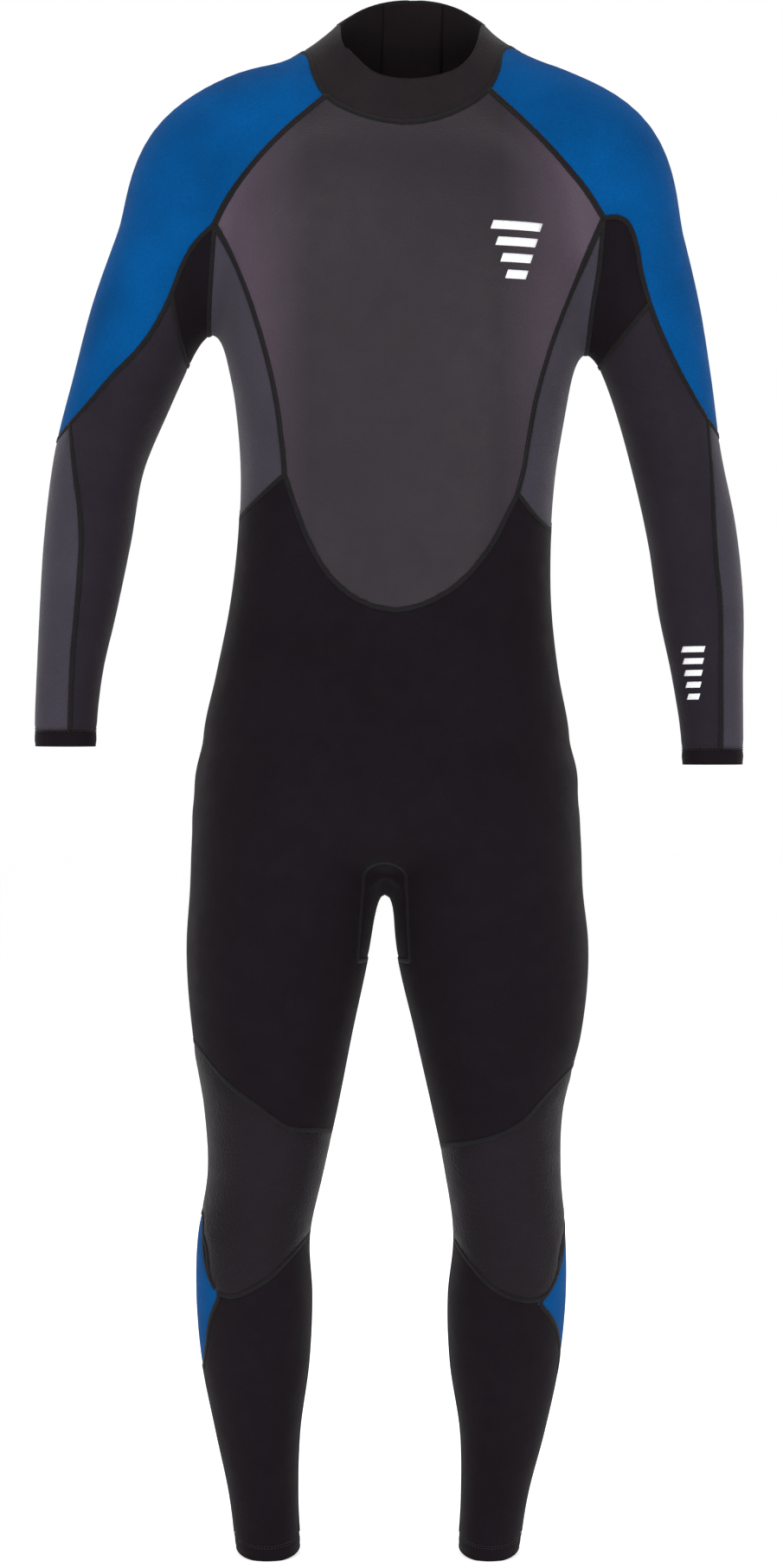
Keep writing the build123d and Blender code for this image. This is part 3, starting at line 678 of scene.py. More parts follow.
def panel_names(points):
    """The name of the panel at each point of the surface."""
    flat = points[:, [0, 2]]
    x, y, z = points.T
    names = np.full(len(points), "front_trunk_panel", dtype=object)
    front = y < SIDE_Y
    is_in = {key: inside_outline(flat, outline) for key, outline in OUTLINES.items()}

    def face(kind, side, split=front):
        return np.where(split, is_in[f"{kind}_front_{side}"], is_in[f"{kind}_back_{side}"])

    leg_front = y < leg_side(z)
    names[~leg_front] = "seat_panel"
    upper_back = ~front & ~is_in["below_waist_back"] & (z > 960)
    names[upper_back & (x > zip_line(z))] = "back_panel_left"
    names[upper_back & (x <= zip_line(z))] = "back_panel_right"
    for side, sign in SIDES.items():
        own_leg = ((x - CROTCH_X) * sign > 0) & (z < 600)
        for name, shape, part in (
            ("knee_pad", "knee_front", leg_front), ("shin_panel", "shin_front", leg_front),
            ("knee_back", "knee_back", ~leg_front), ("calf_back", "shin_back", ~leg_front),
        ):
            names[own_leg & part & is_in[f"{shape}_{side}"]] = f"{name}_{side}"
        calf = np.where(y < CALF_SIDE_Y, is_in[f"calf_front_{side}"], is_in[f"calf_back_{side}"])
        names[own_leg & calf] = f"calf_panel_{side}"
        names[own_leg & (ankle_value(points, side, ANKLE_HEM) < 0)] = f"ankle_hem_{side}"
        own_side = (x - 10) * sign > 0
        side_back = is_in[f"side_back_{side}"] & ~is_in["below_waist_back"]
        side_panel = np.where(front, is_in[f"side_foot_{side}"], side_back)
        names[own_side & (z > 900) & side_panel] = f"side_panel_{side}"
    names[(gusset_value(points) < 0) & (z > GUSSET_LOW) & (z < GUSSET_HIGH)] = "crotch_gusset"
    names[front & is_in["chest"] & (z > 890)] = "chest_panel"
    for side in SIDES:
        arm = face("arm", side)
        names[arm] = f"sleeve_inner_{side}"
        names[arm & face("forearm", side, y < FOREARM_SIDE_Y) & (z < 1100)] = f"forearm_outer_{side}"
        names[arm & is_in[f"gusset_{side}"]] = f"underarm_gusset_{side}"
        names[arm & face("shoulder", side)] = f"shoulder_panel_{side}"
        names[arm & (z < CUFFS[side] + CUFF_HEM)] = f"cuff_hem_{side}"
    names[np.where(front, is_in["collar_front"], is_in["collar_back"])] = "collar"
    slot = ~front & (np.abs(x - zip_line(z)) < CHAIN_GAP / 2) & (z > ZIP_BOTTOM[1])
    names[slot] = "zip_slot"
    outside = rim_value(points) > 0
    for side in SIDES:
        outside |= ((x * SIDES[side]) > 230) & (z < CUFFS[side])
        outside |= ((x - CROTCH_X) * SIDES[side] > 0) & (z < 100) & (ankle_value(points, side) < 0)
    names[outside] = "none"
    return names


def cut_skin():
    """The mesh of the suit, split along every seam, and the panel of each triangle."""
    points, triangles = net(*NET_BOX, CELL)
    points = relax(settle(points, 2), triangles, 6)
    skin = Skin(points, triangles)
    far = 400.0
    for side, sign in SIDES.items():
        for above in (0.0, CUFF_HEM):
            skin.cut_values(
                lambda p, edge=CUFFS[side] + above: p[:, 2] - edge,
                lambda m, sign=sign: m[:, 0] * sign > 215,
            )
        for above in (0.0, ANKLE_HEM):
            skin.cut_values(
                lambda p, side=side, above=above: ankle_value(p, side, above),
                lambda m, sign=sign: ((m[:, 0] - CROTCH_X) * sign > 0) & (m[:, 2] < 120),
            )
    skin.cut_values(rim_value, lambda m: (m[:, 2] > 1300) & (np.abs(m[:, 0] - 20) < 120))
    skin.cut_values(lambda p: p[:, 1] - SIDE_Y, lambda m: m[:, 2] > 940)
    skin.cut_values(
        lambda p: p[:, 1] - leg_side(p[:, 2]),
        lambda m: (m[:, 2] < 1010) & (np.abs(m[:, 0]) < 215),
    )
    for line in (COLLAR_FRONT, CHEST_FOOT):
        skin.cut_line(smooth_line(line), -far, SIDE_Y)
    for line in (COLLAR_BACK, WAIST_BACK):
        skin.cut_line(smooth_line(line), SIDE_Y, far)
    for side in SIDES:
        for line in (RAGLAN_FRONT, CHEST_SIDE, SIDE_PANEL_FOOT, SLEEVE_TOP_FRONT, ARMHOLE, GUSSET_FOOT):
            skin.cut_line(smooth_line(line[side]), -far, SIDE_Y)
        for line in (RAGLAN_BACK, SIDE_PANEL_BACK, SLEEVE_TOP_BACK, ARMHOLE, GUSSET_FOOT):
            skin.cut_line(smooth_line(line[side]), SIDE_Y, far)
        skin.cut_line(smooth_line(FOREARM_FRONT[side]), -far, FOREARM_SIDE_Y)
        skin.cut_line(smooth_line(FOREARM_BACK[side]), FOREARM_SIDE_Y, far)
        for line in (KNEE_TOP_FRONT, KNEE_FOOT_FRONT, KNEE_TOP_BACK, KNEE_FOOT_BACK):
            skin.cut_line(smooth_line(line[side]), -far, far)
        skin.cut_line(OUTLINES[f"calf_front_{side}"], -far, CALF_SIDE_Y)
        skin.cut_line(OUTLINES[f"calf_back_{side}"], CALF_SIDE_Y, far)
    skin.cut_values(gusset_value, lambda m: (m[:, 2] > GUSSET_LOW - 5) & (m[:, 2] < GUSSET_HIGH))
    skin.cut_values(lambda p: p[:, 2] - GUSSET_LOW, lambda m: np.abs(m[:, 0] - CROTCH_X) < 40)
    foot_x, foot_z = ZIP_BOTTOM
    rise = np.array([(zip_line(z), z) for z in (foot_z, 1560)])
    for shift in (-CHAIN_GAP / 2, CHAIN_GAP / 2):
        skin.cut_line(rise + [shift, 0], SIDE_Y, far)
    skin.cut_line([(foot_x - 6, foot_z), (foot_x + 6, foot_z)], SIDE_Y, far)
    skin.cut_line([(foot_x, 970), (foot_x, foot_z)], SIDE_Y, far)
    a, b, c = skin.p[skin.t].transpose(1, 0, 2)
    solid = np.linalg.norm(np.cross(b - a, c - a), axis=1) > 1e-4
    skin.t = skin.t[solid]
    names = panel_names(skin.middles())
    return skin, names


skin, names = cut_skin()

# ---------------------------------------------------------------- from the mesh to the pieces

# The left cuff is a ring of a known place and size in both, which gives the step between them.
CUFF_X, CUFF_Y, _, CUFF_RADIUS, _ = ARMS["left"][-1]
CUFF_CORNER = [CUFF_X - CUFF_RADIUS, CUFF_Y - CUFF_RADIUS, CUFFS["left"]]
SHIFT = np.array(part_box("cuff_hem_left")[0]) / MM - CUFF_CORNER


def to_frame(points):
    """Drawing coordinates to the frame, in metres."""
    return (np.asarray(points, float) + SHIFT) * MM


def add_piece(name, points, faces, materials, slot, node=None, body="suit", indexes=None, smooth=True):
    """A piece of the visual model, which rides on its body and may replace a CAD node."""
    mesh = bpy.data.meshes.new(name)
    mesh.from_pydata([tuple(p) for p in to_frame(points)], [], [tuple(map(int, f)) for f in faces])
    for material in materials:
        mesh.materials.append(material)
    if indexes is not None:
        mesh.polygons.foreach_set("material_index", np.asarray(indexes, dtype=np.int32))
    mesh.polygons.foreach_set("use_smooth", np.full(len(faces), smooth))
    mesh.update()
    piece = bpy.data.objects.new(name, mesh)
    bpy.context.scene.collection.objects.link(piece)
    if body:
        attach(piece, body)
    if node:
        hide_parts(*([node] if isinstance(node, str) else node))
    return piece


def seam_edges(triangles, owners):
    """Mesh edges between each pair of owners."""
    edges = np.sort(edges_of(triangles), axis=1)
    owner = np.tile(owners, 3)
    order = np.lexsort((edges[:, 1], edges[:, 0]))
    edges, owner = edges[order], owner[order]
    pair = (edges[1:] == edges[:-1]).all(1) & (owner[1:] != owner[:-1])
    found = {}
    for i in np.flatnonzero(pair):
        key = tuple(sorted((owner[i], owner[i + 1])))
        found.setdefault(key, []).append(edges[i])
    return {key: np.array(rows) for key, rows in found.items()}


def chains(edges):
    """Join edges end to end into lines of vertex numbers."""
    links = {}
    for a, b in edges:
        links.setdefault(int(a), []).append(int(b))
        links.setdefault(int(b), []).append(int(a))
    lines = []
    free = {tuple(sorted((int(a), int(b)))) for a, b in edges}
    starts = [v for v, near in links.items() if len(near) != 2] + list(links)
    for start in starts:
        for step in links[start]:
            if tuple(sorted((start, step))) not in free:
                continue
            line = [start]
            here, nxt = start, step
            while tuple(sorted((here, nxt))) in free:
                free.discard(tuple(sorted((here, nxt))))
                line.append(nxt)
                here = nxt
                onward = [v for v in links[here] if tuple(sorted((here, v))) in free]
                if len(links[here]) != 2 or not onward:
                    break
                nxt = onward[0]
            lines.append(line)
    return lines


def smoothed(points, step, closed, times=6):
    """The line smoothed, evenly spaced and put back on the surface."""
    p = points.copy()
    for _ in range(times):
        if closed:
            ring = p[:-1]
            ring = 0.5 * ring + 0.25 * (np.roll(ring, 1, axis=0) + np.roll(ring, -1, axis=0))
            p = np.concatenate([ring, ring[:1]])
        else:
            p[1:-1] = 0.5 * p[1:-1] + 0.25 * (p[:-2] + p[2:])
    run = run_of(p)
    count = max(3, int(round(run[-1] / step)) + 1)
    return settle(read_at(np.linspace(0, run[-1], count), run, p), 2)


def lengthways(line, closed):
    """Which way the line runs at each of its points."""
    if closed:
        return (np.roll(line[:-1], -1, axis=0) - np.roll(line[:-1], 1, axis=0))[np.r_[0 : len(line) - 1, 0]]
    return np.gradient(line, axis=0)


class Heap:
    """Collects many small closed shapes into one mesh."""

    def __init__(self):
        self.points, self.faces, self.count = [], [], 0

    def add(self, points, faces):
        self.points.append(np.asarray(points, float))
        self.faces += [tuple(v + self.count for v in face) for face in faces]
        self.count += len(points)

    def piece(self, name, materials, slot, **more):
        return add_piece(name, np.concatenate(self.points), self.faces, materials, slot, **more)

    def band(self, line, normals, profile, closed=False, scale=None):
        """A closed band along the line. The profile is a loop of (across, up), going round clockwise."""
        across = unit(np.cross(lengthways(line, closed), normals))
        profile = np.asarray(profile, float)
        if scale is None:
            scale = np.ones(len(line))
        rings = (
            line[:, None]
            + across[:, None] * profile[None, :, 0, None] * scale[:, None, None]
            + normals[:, None] * profile[None, :, 1, None] * scale[:, None, None]
        )
        n, m = len(line) - (1 if closed else 0), len(profile)
        rings = rings[:n]
        faces = []
        for i in range(n if closed else n - 1):
            j = (i + 1) % n
            for k in range(m):
                q = (k + 1) % m
                faces.append((i * m + k, i * m + q, j * m + q, j * m + k))
        if not closed:
            faces.append(tuple(range(m))[::-1])
            faces.append(tuple((n - 1) * m + k for k in range(m)))
        self.add(rings.reshape(-1, 3), faces)


def round_profile(radius, sides=5):
    turn = np.linspace(0, 2 * math.pi, sides, endpoint=False)
    return np.stack([np.cos(turn), np.sin(turn)], 1) * radius


def arch(width, height, sunk=0.7):
    """The section of a soft raised band."""
    half = width / 2
    return [
        (-half, -sunk), (-half, 0.1), (-half * 0.72, height * 0.8), (0, height),
        (half * 0.72, height * 0.8), (half, 0.1), (half, -sunk),
    ]


def zigzag(heap, line, normals, reach, pitch, lift, radius):
    """A thread that goes from side to side along a seam."""
    run = run_of(line)
    count = max(4, int(run[-1] / pitch * 2))
    at = np.linspace(0, run[-1], count)
    middle, up = read_at(at, run, line), read_at(at, run, normals)
    across = unit(np.cross(np.gradient(middle, axis=0), up))
    swing = np.where(np.arange(count) % 2 == 0, 1.0, -1.0)[:, None] * reach
    heap.band(middle + across * swing + up * lift, up, round_profile(radius, 4))


def stitches(heap, line, normals, length, gap, lift, radius, offset=0.0):
    """A row of separate straight stitches."""
    run = run_of(line)
    start = gap
    shape = np.array([0.35, 1.0, 1.0, 0.35])
    while start + length < run[-1]:
        at = start + length * np.array([0, 0.2, 0.8, 1.0])
        middle, up = read_at(at, run, line), read_at(at, run, normals)
        across = unit(np.cross(np.gradient(middle, axis=0), up))
        heap.band(middle + across * offset + up * lift, up, round_profile(radius, 5), scale=shape)
        start += length + gap


# ---------------------------------------------------------------- materials

# The middle of the chest, from which the chest's painted highlight grows lighter outward.
CHEST_MIDDLE = 16.0
BRIGHTEST = 1.25  # the lightest spot of a look, as a multiple of its colour


def material(
    name, color, roughness, bump, patches=0.10, sheen=0.0, specular=0.2, metallic=0.0, coat=0.0, sides=None
):
    """A surface whose grain, colour and gloss vary. bump is a list of (kind, size in mm, depth in mm).

    sides is (from, to, how many times lighter): a painted highlight, the colour lightened away from the
    middle of the chest to stand in for side light on the smooth skin; from and to are where it starts and
    stops, in mm.
    """
    made = bpy.data.materials.new(name)
    made.use_nodes = True
    nodes, links = made.node_tree.nodes, made.node_tree.links
    shader = nodes["Principled BSDF"]
    shader.inputs["Specular IOR Level"].default_value = specular
    shader.inputs["Metallic"].default_value = metallic
    shader.inputs["Sheen Weight"].default_value = sheen
    shader.inputs["Sheen Roughness"].default_value = 0.45
    shader.inputs["Coat Weight"].default_value = coat
    place = nodes.new("ShaderNodeTexCoord")

    def noise(size, detail, rough=0.5):
        node = nodes.new("ShaderNodeTexNoise")
        node.inputs["Scale"].default_value = 1 / (size * MM)
        node.inputs["Detail"].default_value = detail
        node.inputs["Roughness"].default_value = rough
        links.new(place.outputs["Object"], node.inputs["Vector"])
        return node.outputs["Fac"]

    def spread(value, low, high, to_low, to_high):
        node = nodes.new("ShaderNodeMapRange")
        node.inputs["From Min"].default_value = low
        node.inputs["From Max"].default_value = high
        node.inputs["To Min"].default_value = to_low
        node.inputs["To Max"].default_value = to_high
        links.new(value, node.inputs["Value"])
        return node.outputs["Result"]

    def times(a, b):
        node = nodes.new("ShaderNodeMath")
        node.operation = "MULTIPLY"
        links.new(a, node.inputs[0])
        links.new(b, node.inputs[1])
        return node.outputs[0]

    wide = spread(noise(70, 2), 0.3, 0.7, 1 - patches, 1 + patches)
    fine = spread(noise(1.3, 2), 0.3, 0.7, 0.86, 1.14)
    tone = times(wide, fine)
    top = BRIGHTEST
    # Painted highlight: the colour gets lighter towards the chest's sides, standing in for side light on
    # the smooth skin.
    if sides:
        near, far, highlight_gain = sides
        apart = nodes.new("ShaderNodeVectorMath")
        apart.operation = "ABSOLUTE"
        shifted = nodes.new("ShaderNodeVectorMath")
        shifted.operation = "SUBTRACT"
        shifted.inputs[1].default_value = to_frame([[CHEST_MIDDLE, 0, 0]])[0]
        links.new(place.outputs["Object"], shifted.inputs[0])
        links.new(shifted.outputs["Vector"], apart.inputs[0])
        split = nodes.new("ShaderNodeSeparateXYZ")
        links.new(apart.outputs["Vector"], split.inputs[0])
        tone = times(tone, spread(split.outputs["X"], near * MM, far * MM, 1, highlight_gain))
        top *= highlight_gain
    shade = nodes.new("ShaderNodeMix")
    shade.data_type = "RGBA"
    shade.inputs[6].default_value = (0, 0, 0, 1)
    shade.inputs[7].default_value = (*[min(1.0, c * top) for c in color], 1)
    links.new(spread(tone, 0, top, 0, 1), shade.inputs[0])
    links.new(shade.outputs[2], shader.inputs["Base Color"])
    dull = spread(noise(18, 3), 0.3, 0.7, roughness - 0.05, roughness + 0.05)
    links.new(dull, shader.inputs["Roughness"])

    normal = None
    for kind, size, depth in bump:
        node = nodes.new("ShaderNodeBump")
        node.inputs["Distance"].default_value = depth * MM
        if kind == "cells":
            cells = nodes.new("ShaderNodeTexVoronoi")
            cells.inputs["Scale"].default_value = 1 / (size * MM)
            links.new(place.outputs["Object"], cells.inputs["Vector"])
            links.new(cells.outputs["Distance"], node.inputs["Height"])
        else:
            links.new(noise(size, 3 if kind == "grain" else 1), node.inputs["Height"])
        if normal:
            links.new(normal, node.inputs["Normal"])
        normal = node.outputs["Normal"]
    if normal:
        links.new(normal, shader.inputs["Normal"])
    return made


JERSEY = [("waves", 45, 1.6), ("cells", 1.1, 0.35), ("grain", 3.5, 0.25)]
BLACK = material("black_jersey", (0.0058, 0.0036, 0.0056), 0.85, JERSEY, sheen=0.02, specular=0.08)
COLLAR = material("collar_jersey", (0.0085, 0.0052, 0.0068), 0.80, JERSEY, sheen=0.07, specular=0.12)
CHARCOAL = material("charcoal_jersey", (0.0120, 0.0085, 0.0140), 0.85, JERSEY, sheen=0.05, specular=0.15)
SLATE = material("slate_jersey", (0.0340, 0.0295, 0.0420), 0.82, JERSEY, sheen=0.08, specular=0.15)
BLUE = material("blue_jersey", (0.0, 0.054, 0.187), 0.88, JERSEY, patches=0.14, sheen=0.01, specular=0.05)
# The chest's lighter sides, set by sides, are a painted highlight standing in for side light, not the
# skin's own colour.
CHEST = material(
    "smooth_skin", (0.0132, 0.0090, 0.0132), 0.50,
    [("waves", 60, 1.8), ("cells", 1.6, 0.22), ("grain", 0.9, 0.12)],
    patches=0.08, sheen=0.16, specular=0.20, sides=(88, 150, 4.0),
)
KNEE = material(
    "knee_rubber", (0.0068, 0.0046, 0.0072), 0.62, [("cells", 2.4, 0.5), ("grain", 1.2, 0.2)],
    sheen=0.04, specular=0.10,
)
BINDING = material(
    "seam_tape", (0.0050, 0.0042, 0.0050), 0.75, [("cells", 0.9, 0.3)], sheen=0.04, specular=0.15
)
THREAD = material(
    "stitch_thread", (0.0100, 0.0085, 0.0100), 0.60, [("grain", 0.5, 0.1)], sheen=0.10, specular=0.25
)
LINING = material(
    "lining_jersey", (0.0085, 0.0062, 0.0072), 0.95, [("grain", 1.6, 0.5), ("waves", 30, 0.8)],
    sheen=0.04, specular=0.1,
)
FOAM = material("foam_edge", (0.0085, 0.0078, 0.0085), 0.90, [("cells", 0.7, 0.2)], specular=0.12)
TAPE = material(
    "zip_tape", (0.0075, 0.0072, 0.0078), 0.80, [("cells", 0.8, 0.25)], sheen=0.06, specular=0.15
)
PLASTIC = material("zip_plastic", (0.014, 0.014, 0.015), 0.38, [("grain", 2.0, 0.05)], specular=0.5)
METAL = material(
    "slider_metal", (0.040, 0.040, 0.043), 0.34, [("grain", 1.0, 0.04)],
    metallic=0.6, specular=0.5, coat=0.3,
)
GRIP = material(
    "hook_and_loop", (0.0085, 0.0085, 0.0090), 0.95, [("cells", 0.9, 0.8)], sheen=0.10, specular=0.1
)
INK = material(
    "print_white", (0.70, 0.70, 0.71), 0.55, [("grain", 1.4, 0.08)], patches=0.03, specular=0.3
)

# Panel: material and record slot.
PANELS = {
    "collar": (COLLAR, "black_jersey"), "chest_panel": (CHEST, "smooth_skin"),
    "front_trunk_panel": (BLACK, "black_jersey"), "seat_panel": (BLACK, "black_jersey"),
    "crotch_gusset": (BLACK, "black_jersey"),
}
for side in SIDES:
    for name, look, slot in (
        ("back_panel", BLACK, "black_jersey"), ("side_panel", SLATE, "slate_jersey"),
        ("shoulder_panel", BLUE, "blue_jersey"), ("underarm_gusset", BLACK, "black_jersey"),
        ("sleeve_inner", CHARCOAL, "charcoal_jersey"), ("forearm_outer", SLATE, "slate_jersey"),
        ("cuff_hem", BLACK, "black_jersey"), ("knee_pad", KNEE, "knee_rubber"),
        ("knee_back", BLACK, "black_jersey"), ("shin_panel", BLACK, "black_jersey"),
        ("calf_panel", BLUE, "blue_jersey"), ("calf_back", BLACK, "black_jersey"),
        ("ankle_hem", BLACK, "black_jersey"),
    ):
        PANELS[f"{name}_{side}"] = (look, slot)

# ---------------------------------------------------------------- panels

normals = outward(skin.p)
pairs = seam_edges(skin.t, names)
OPEN = {"none", "zip_slot"}
seam_spots, seam_lines = [], []
for (one, other), edges in pairs.items():
    seam_spots.append(skin.p[np.unique(edges)])
    if OPEN & {one, other}:
        continue
    for chain in chains(edges):
        if len(chain) > 3:
            seam_lines.append((one, other, chain, chain[0] == chain[-1]))
seam_spots = np.unique(np.concatenate(seam_spots), axis=0)
tree = kdtree.KDTree(len(seam_spots))
for i, spot in enumerate(seam_spots):
    tree.insert(spot, i)
tree.balance()
from_seam = np.array([tree.find(p)[2] for p in skin.p])

DIP = 0.7  # how deep a panel dips at its seams
DIP_REACH = 6.0
PAD_RISE = 1.3
PAD_REACH = 14.0
LIP = [(-0.35, 0.45), (-1.5, 0.95), (-2.65, 0.45)]  # rounding of a free edge: along the normal, outward
OUTSIDE, INSIDE, CUT = 0, 1, 2  # a panel's materials, in this order


def eased(distance, reach):
    """0 at no distance, rising smoothly to 1 at the reach."""
    share = np.clip(distance / reach, 0, 1)
    return share * share * (3 - 2 * share)


def build_panel(name):
    """One panel as a closed skin: face, lining, cut foam at the seams and a round lip at free edges."""
    look, slot = PANELS[name]
    used, faces = np.unique(skin.t[names == name], return_inverse=True)
    faces = faces.reshape(-1, 3)
    base, up = skin.p[used], normals[used]
    rise = -DIP * (1 - eased(from_seam[used], DIP_REACH))
    if name.startswith("knee_pad"):
        rise = rise + PAD_RISE * eased(from_seam[used], PAD_REACH)
    outer = base + up * rise[:, None]
    inner = base - up * SKIN
    directed = edges_of(faces)
    _, back, count = np.unique(np.sort(directed, axis=1), axis=0, return_inverse=True, return_counts=True)
    rim = directed[count[back.ravel()] == 1]
    open_spots = set()
    for pair, edges in pairs.items():
        if name in pair and OPEN & set(pair):
            open_spots |= {tuple(e) for e in edges}
    n = len(used)
    all_points = [outer, inner]
    all_faces = [tuple(f) for f in faces] + [tuple(f[::-1] + n) for f in faces]
    index = [OUTSIDE] * len(faces) + [INSIDE] * len(faces)
    total = 2 * n
    aside = np.zeros((n, 3))
    free = []
    for a, b in rim:
        if tuple(sorted((used[a], used[b]))) in open_spots:
            free.append((a, b))
            way = np.cross(base[b] - base[a], up[a] + up[b])
            aside[a] += way
            aside[b] += way
        else:
            all_faces.append((b, a, a + n, b + n))
            index.append(CUT)
    if free:
        lip_spots = sorted({v for edge in free for v in edge})
        number = {v: i for i, v in enumerate(lip_spots)}
        way = unit(aside[lip_spots])
        rings = []
        for along, out in LIP:
            all_points.append(base[lip_spots] + up[lip_spots] * along + way * out)
            rings.append(total)
            total += len(lip_spots)
        ladders = {v: [v] + [r + number[v] for r in rings] + [v + n] for v in lip_spots}
        for a, b in free:
            near, far = ladders[a], ladders[b]
            for k in range(len(near) - 1):
                all_faces.append((far[k], near[k], near[k + 1], far[k + 1]))
                index.append(OUTSIDE if k < 2 else INSIDE)
        for v in [v for v in lip_spots if sum(v in edge for edge in free) == 1]:
            start = any(edge[0] == v for edge in free)
            all_faces.append(tuple(ladders[v] if start else ladders[v][::-1]))
            index.append(CUT)
    all_points = np.concatenate(all_points)
    looks = [look, LINING, FOAM]
    piece = add_piece("skin_" + name, all_points, all_faces, looks, slot, node=name, indexes=index)
    a, b, c = base[faces].transpose(1, 0, 2)


for name in PANELS:
    build_panel(name)

# ---------------------------------------------------------------- seams and stitching

# The seams with a raised binding, and the CAD node that each binding stands for.
BOUND = {}
for side in SIDES:
    BOUND[frozenset(("chest_panel", f"shoulder_panel_{side}"))] = f"raglan_piping_front_{side}"
    BOUND[frozenset((f"back_panel_{side}", f"shoulder_panel_{side}"))] = f"raglan_piping_back_{side}"
    BOUND[frozenset(("chest_panel", f"side_panel_{side}"))] = f"chest_piping_{side}"

bindings = {}
flat_seams, threads = Heap(), Heap()
for one, other, chain, closed in seam_lines:
    line = smoothed(skin.p[chain], 2.5, closed)
    up = outward(line)
    target = BOUND.get(frozenset((one, other)))
    if any(part.startswith(("cuff_hem", "ankle_hem")) for part in (one, other)):
        for aside in (-1.1, 1.1):
            stitches(threads, line, up, length=2.4, gap=0.9, lift=0.0, radius=0.34, offset=aside)
    elif target:
        heap = bindings.setdefault(target, Heap())
        heap.band(line, up, arch(width=5.6, height=0.75), closed)
        for aside in (-1.9, 1.9):
            stitches(threads, line, up, length=2.2, gap=0.9, lift=0.62, radius=0.24, offset=aside)
    else:
        flat_seams.band(line, up, arch(width=4.4, height=0.42), closed)
        zigzag(threads, line, up, reach=1.55, pitch=2.4, lift=0.42, radius=0.2)
for name, heap in bindings.items():
    heap.piece(name.replace("piping", "binding"), [BINDING], "seam_tape", node=name)
flat_seams.piece("flat_seams", [BINDING], "seam_tape")

# ---------------------------------------------------------------- zip

LEAN = math.atan2(ZIP_TOP[0] - ZIP_BOTTOM[0], ZIP_TOP[1] - ZIP_BOTTOM[1])
ZIP_LENGTH = math.dist(ZIP_TOP, ZIP_BOTTOM)
ZIP_ACROSS = np.array([math.cos(LEAN), 0, -math.sin(LEAN)])
ZIP_UP = np.array([math.sin(LEAN), 0, math.cos(LEAN)])
ZIP_OUT = np.array([0, 1.0, 0])
CHAIN_MIDDLE = 1.2
TOOTH_PITCH = 3.2
TAPE_MIDDLE = -4.65
TAPE_WIDTH = 15.0
TAPE_STEPS = 130
STOP_LENGTH = 3.0
STOP_FACES = (-4.2, -1.2)
STOP_REACH = 3.7


def zip_place(local):
    """From the zip's own axes (across, out, up) to drawing coordinates."""
    local = np.asarray(local, float)
    origin = np.array([ZIP_TOP[0], BACK_FACE, ZIP_TOP[1]])
    return origin + local[:, :1] * ZIP_ACROSS + local[:, 1:2] * ZIP_OUT + local[:, 2:3] * ZIP_UP


def soft_block(x_span, y_span, z_span, bevel):
    """A block with bevelled edges: points and faces, in the zip's own axes."""
    points, number = [], {}
    spans = (x_span, y_span, z_span)
    for corner in [(i, j, k) for i in (0, 1) for j in (0, 1) for k in (0, 1)]:
        for flat in range(3):
            spot = []
            for axis in range(3):
                edge = spans[axis][corner[axis]]
                inward = bevel if corner[axis] == 0 else -bevel
                spot.append(edge if axis == flat else edge + inward)
            number[corner, flat] = len(points)
            points.append(spot)
    faces = []
    for flat in range(3):
        b, c = [n for n in range(3) if n != flat]
        for end in (0, 1):
            ring = []
            for vb, vc in ((0, 0), (1, 0), (1, 1), (0, 1)):
                corner = [0, 0, 0]
                corner[flat], corner[b], corner[c] = end, vb, vc
                ring.append(number[tuple(corner), flat])
            faces.append(ring)
    for axis in range(3):
        b, c = [n for n in range(3) if n != axis]
        for vb in (0, 1):
            for vc in (0, 1):
                low, high = [0, 0, 0], [0, 0, 0]
                low[b], low[c], high[b], high[c], high[axis] = vb, vc, vb, vc, 1
                low, high = tuple(low), tuple(high)
                faces.append([number[low, b], number[high, b], number[high, c], number[low, c]])
    for corner in {key[0] for key in number}:
        faces.append([number[corner, 0], number[corner, 1], number[corner, 2]])
    points = np.array(points)
    centre = points.mean(0)
    turned = []
    for face in faces:
        p = points[face]
        normal = np.cross(p[1] - p[0], p[2] - p[0])
        turned.append(tuple(face if normal @ (p.mean(0) - centre) > 0 else face[::-1]))
    return points, turned


def tooth(heap, sign, top):
    """One tooth: its head at the middle of the zip, and its thicker neck on the tape."""
    head = sorted((sign * CHAIN_MIDDLE / 2, sign * (CHAIN_MIDDLE / 2 + 2.7)))
    neck = sorted((sign * 2.0, sign * 4.0))
    for across, deep, up, bevel in (
        (head, (-4.2, -1.1), (top - 1.6, top), 0.35),
        (neck, (-4.3, -2.2), (top - 1.9, top + 0.3), 0.3),
    ):
        points, faces = soft_block(across, deep, up, bevel)
        heap.add(zip_place(points), faces)


for side, sign in SIDES.items():
    teeth = Heap()
    first = TOOTH_PITCH if sign > 0 else 1.5 * TOOTH_PITCH
    for i in range(int((ZIP_LENGTH - 2 * STOP_LENGTH - first) / TOOTH_PITCH)):
        tooth(teeth, sign, -STOP_LENGTH - first - i * TOOTH_PITCH)
    teeth.piece(f"chain_{side}", [PLASTIC], "zip_plastic", node=f"zip_teeth_{side}", smooth=False)

    tape = Heap()
    half = TAPE_WIDTH / 2
    middle = sign * (CHAIN_MIDDLE / 2 + half)
    line = zip_place([(middle, TAPE_MIDDLE, up) for up in np.linspace(-ZIP_LENGTH, 0, TAPE_STEPS)])
    section = [
        (-half, -0.25), (-half, 0.25), (-half + 0.8, 0.45), (-half + 3.2, 0.45), (-half + 3.6, 0.3),
        (0, 0.3), (half - 3.6, 0.3), (half - 3.2, 0.45), (half - 0.8, 0.45), (half, 0.25),
        (half, -0.25), (0, -0.45),
    ]
    tape.band(line, np.tile(ZIP_OUT, (TAPE_STEPS, 1)), section)
    piece = tape.piece(f"tape_{side}", [TAPE], "zip_tape", node=f"zip_tape_{side}")

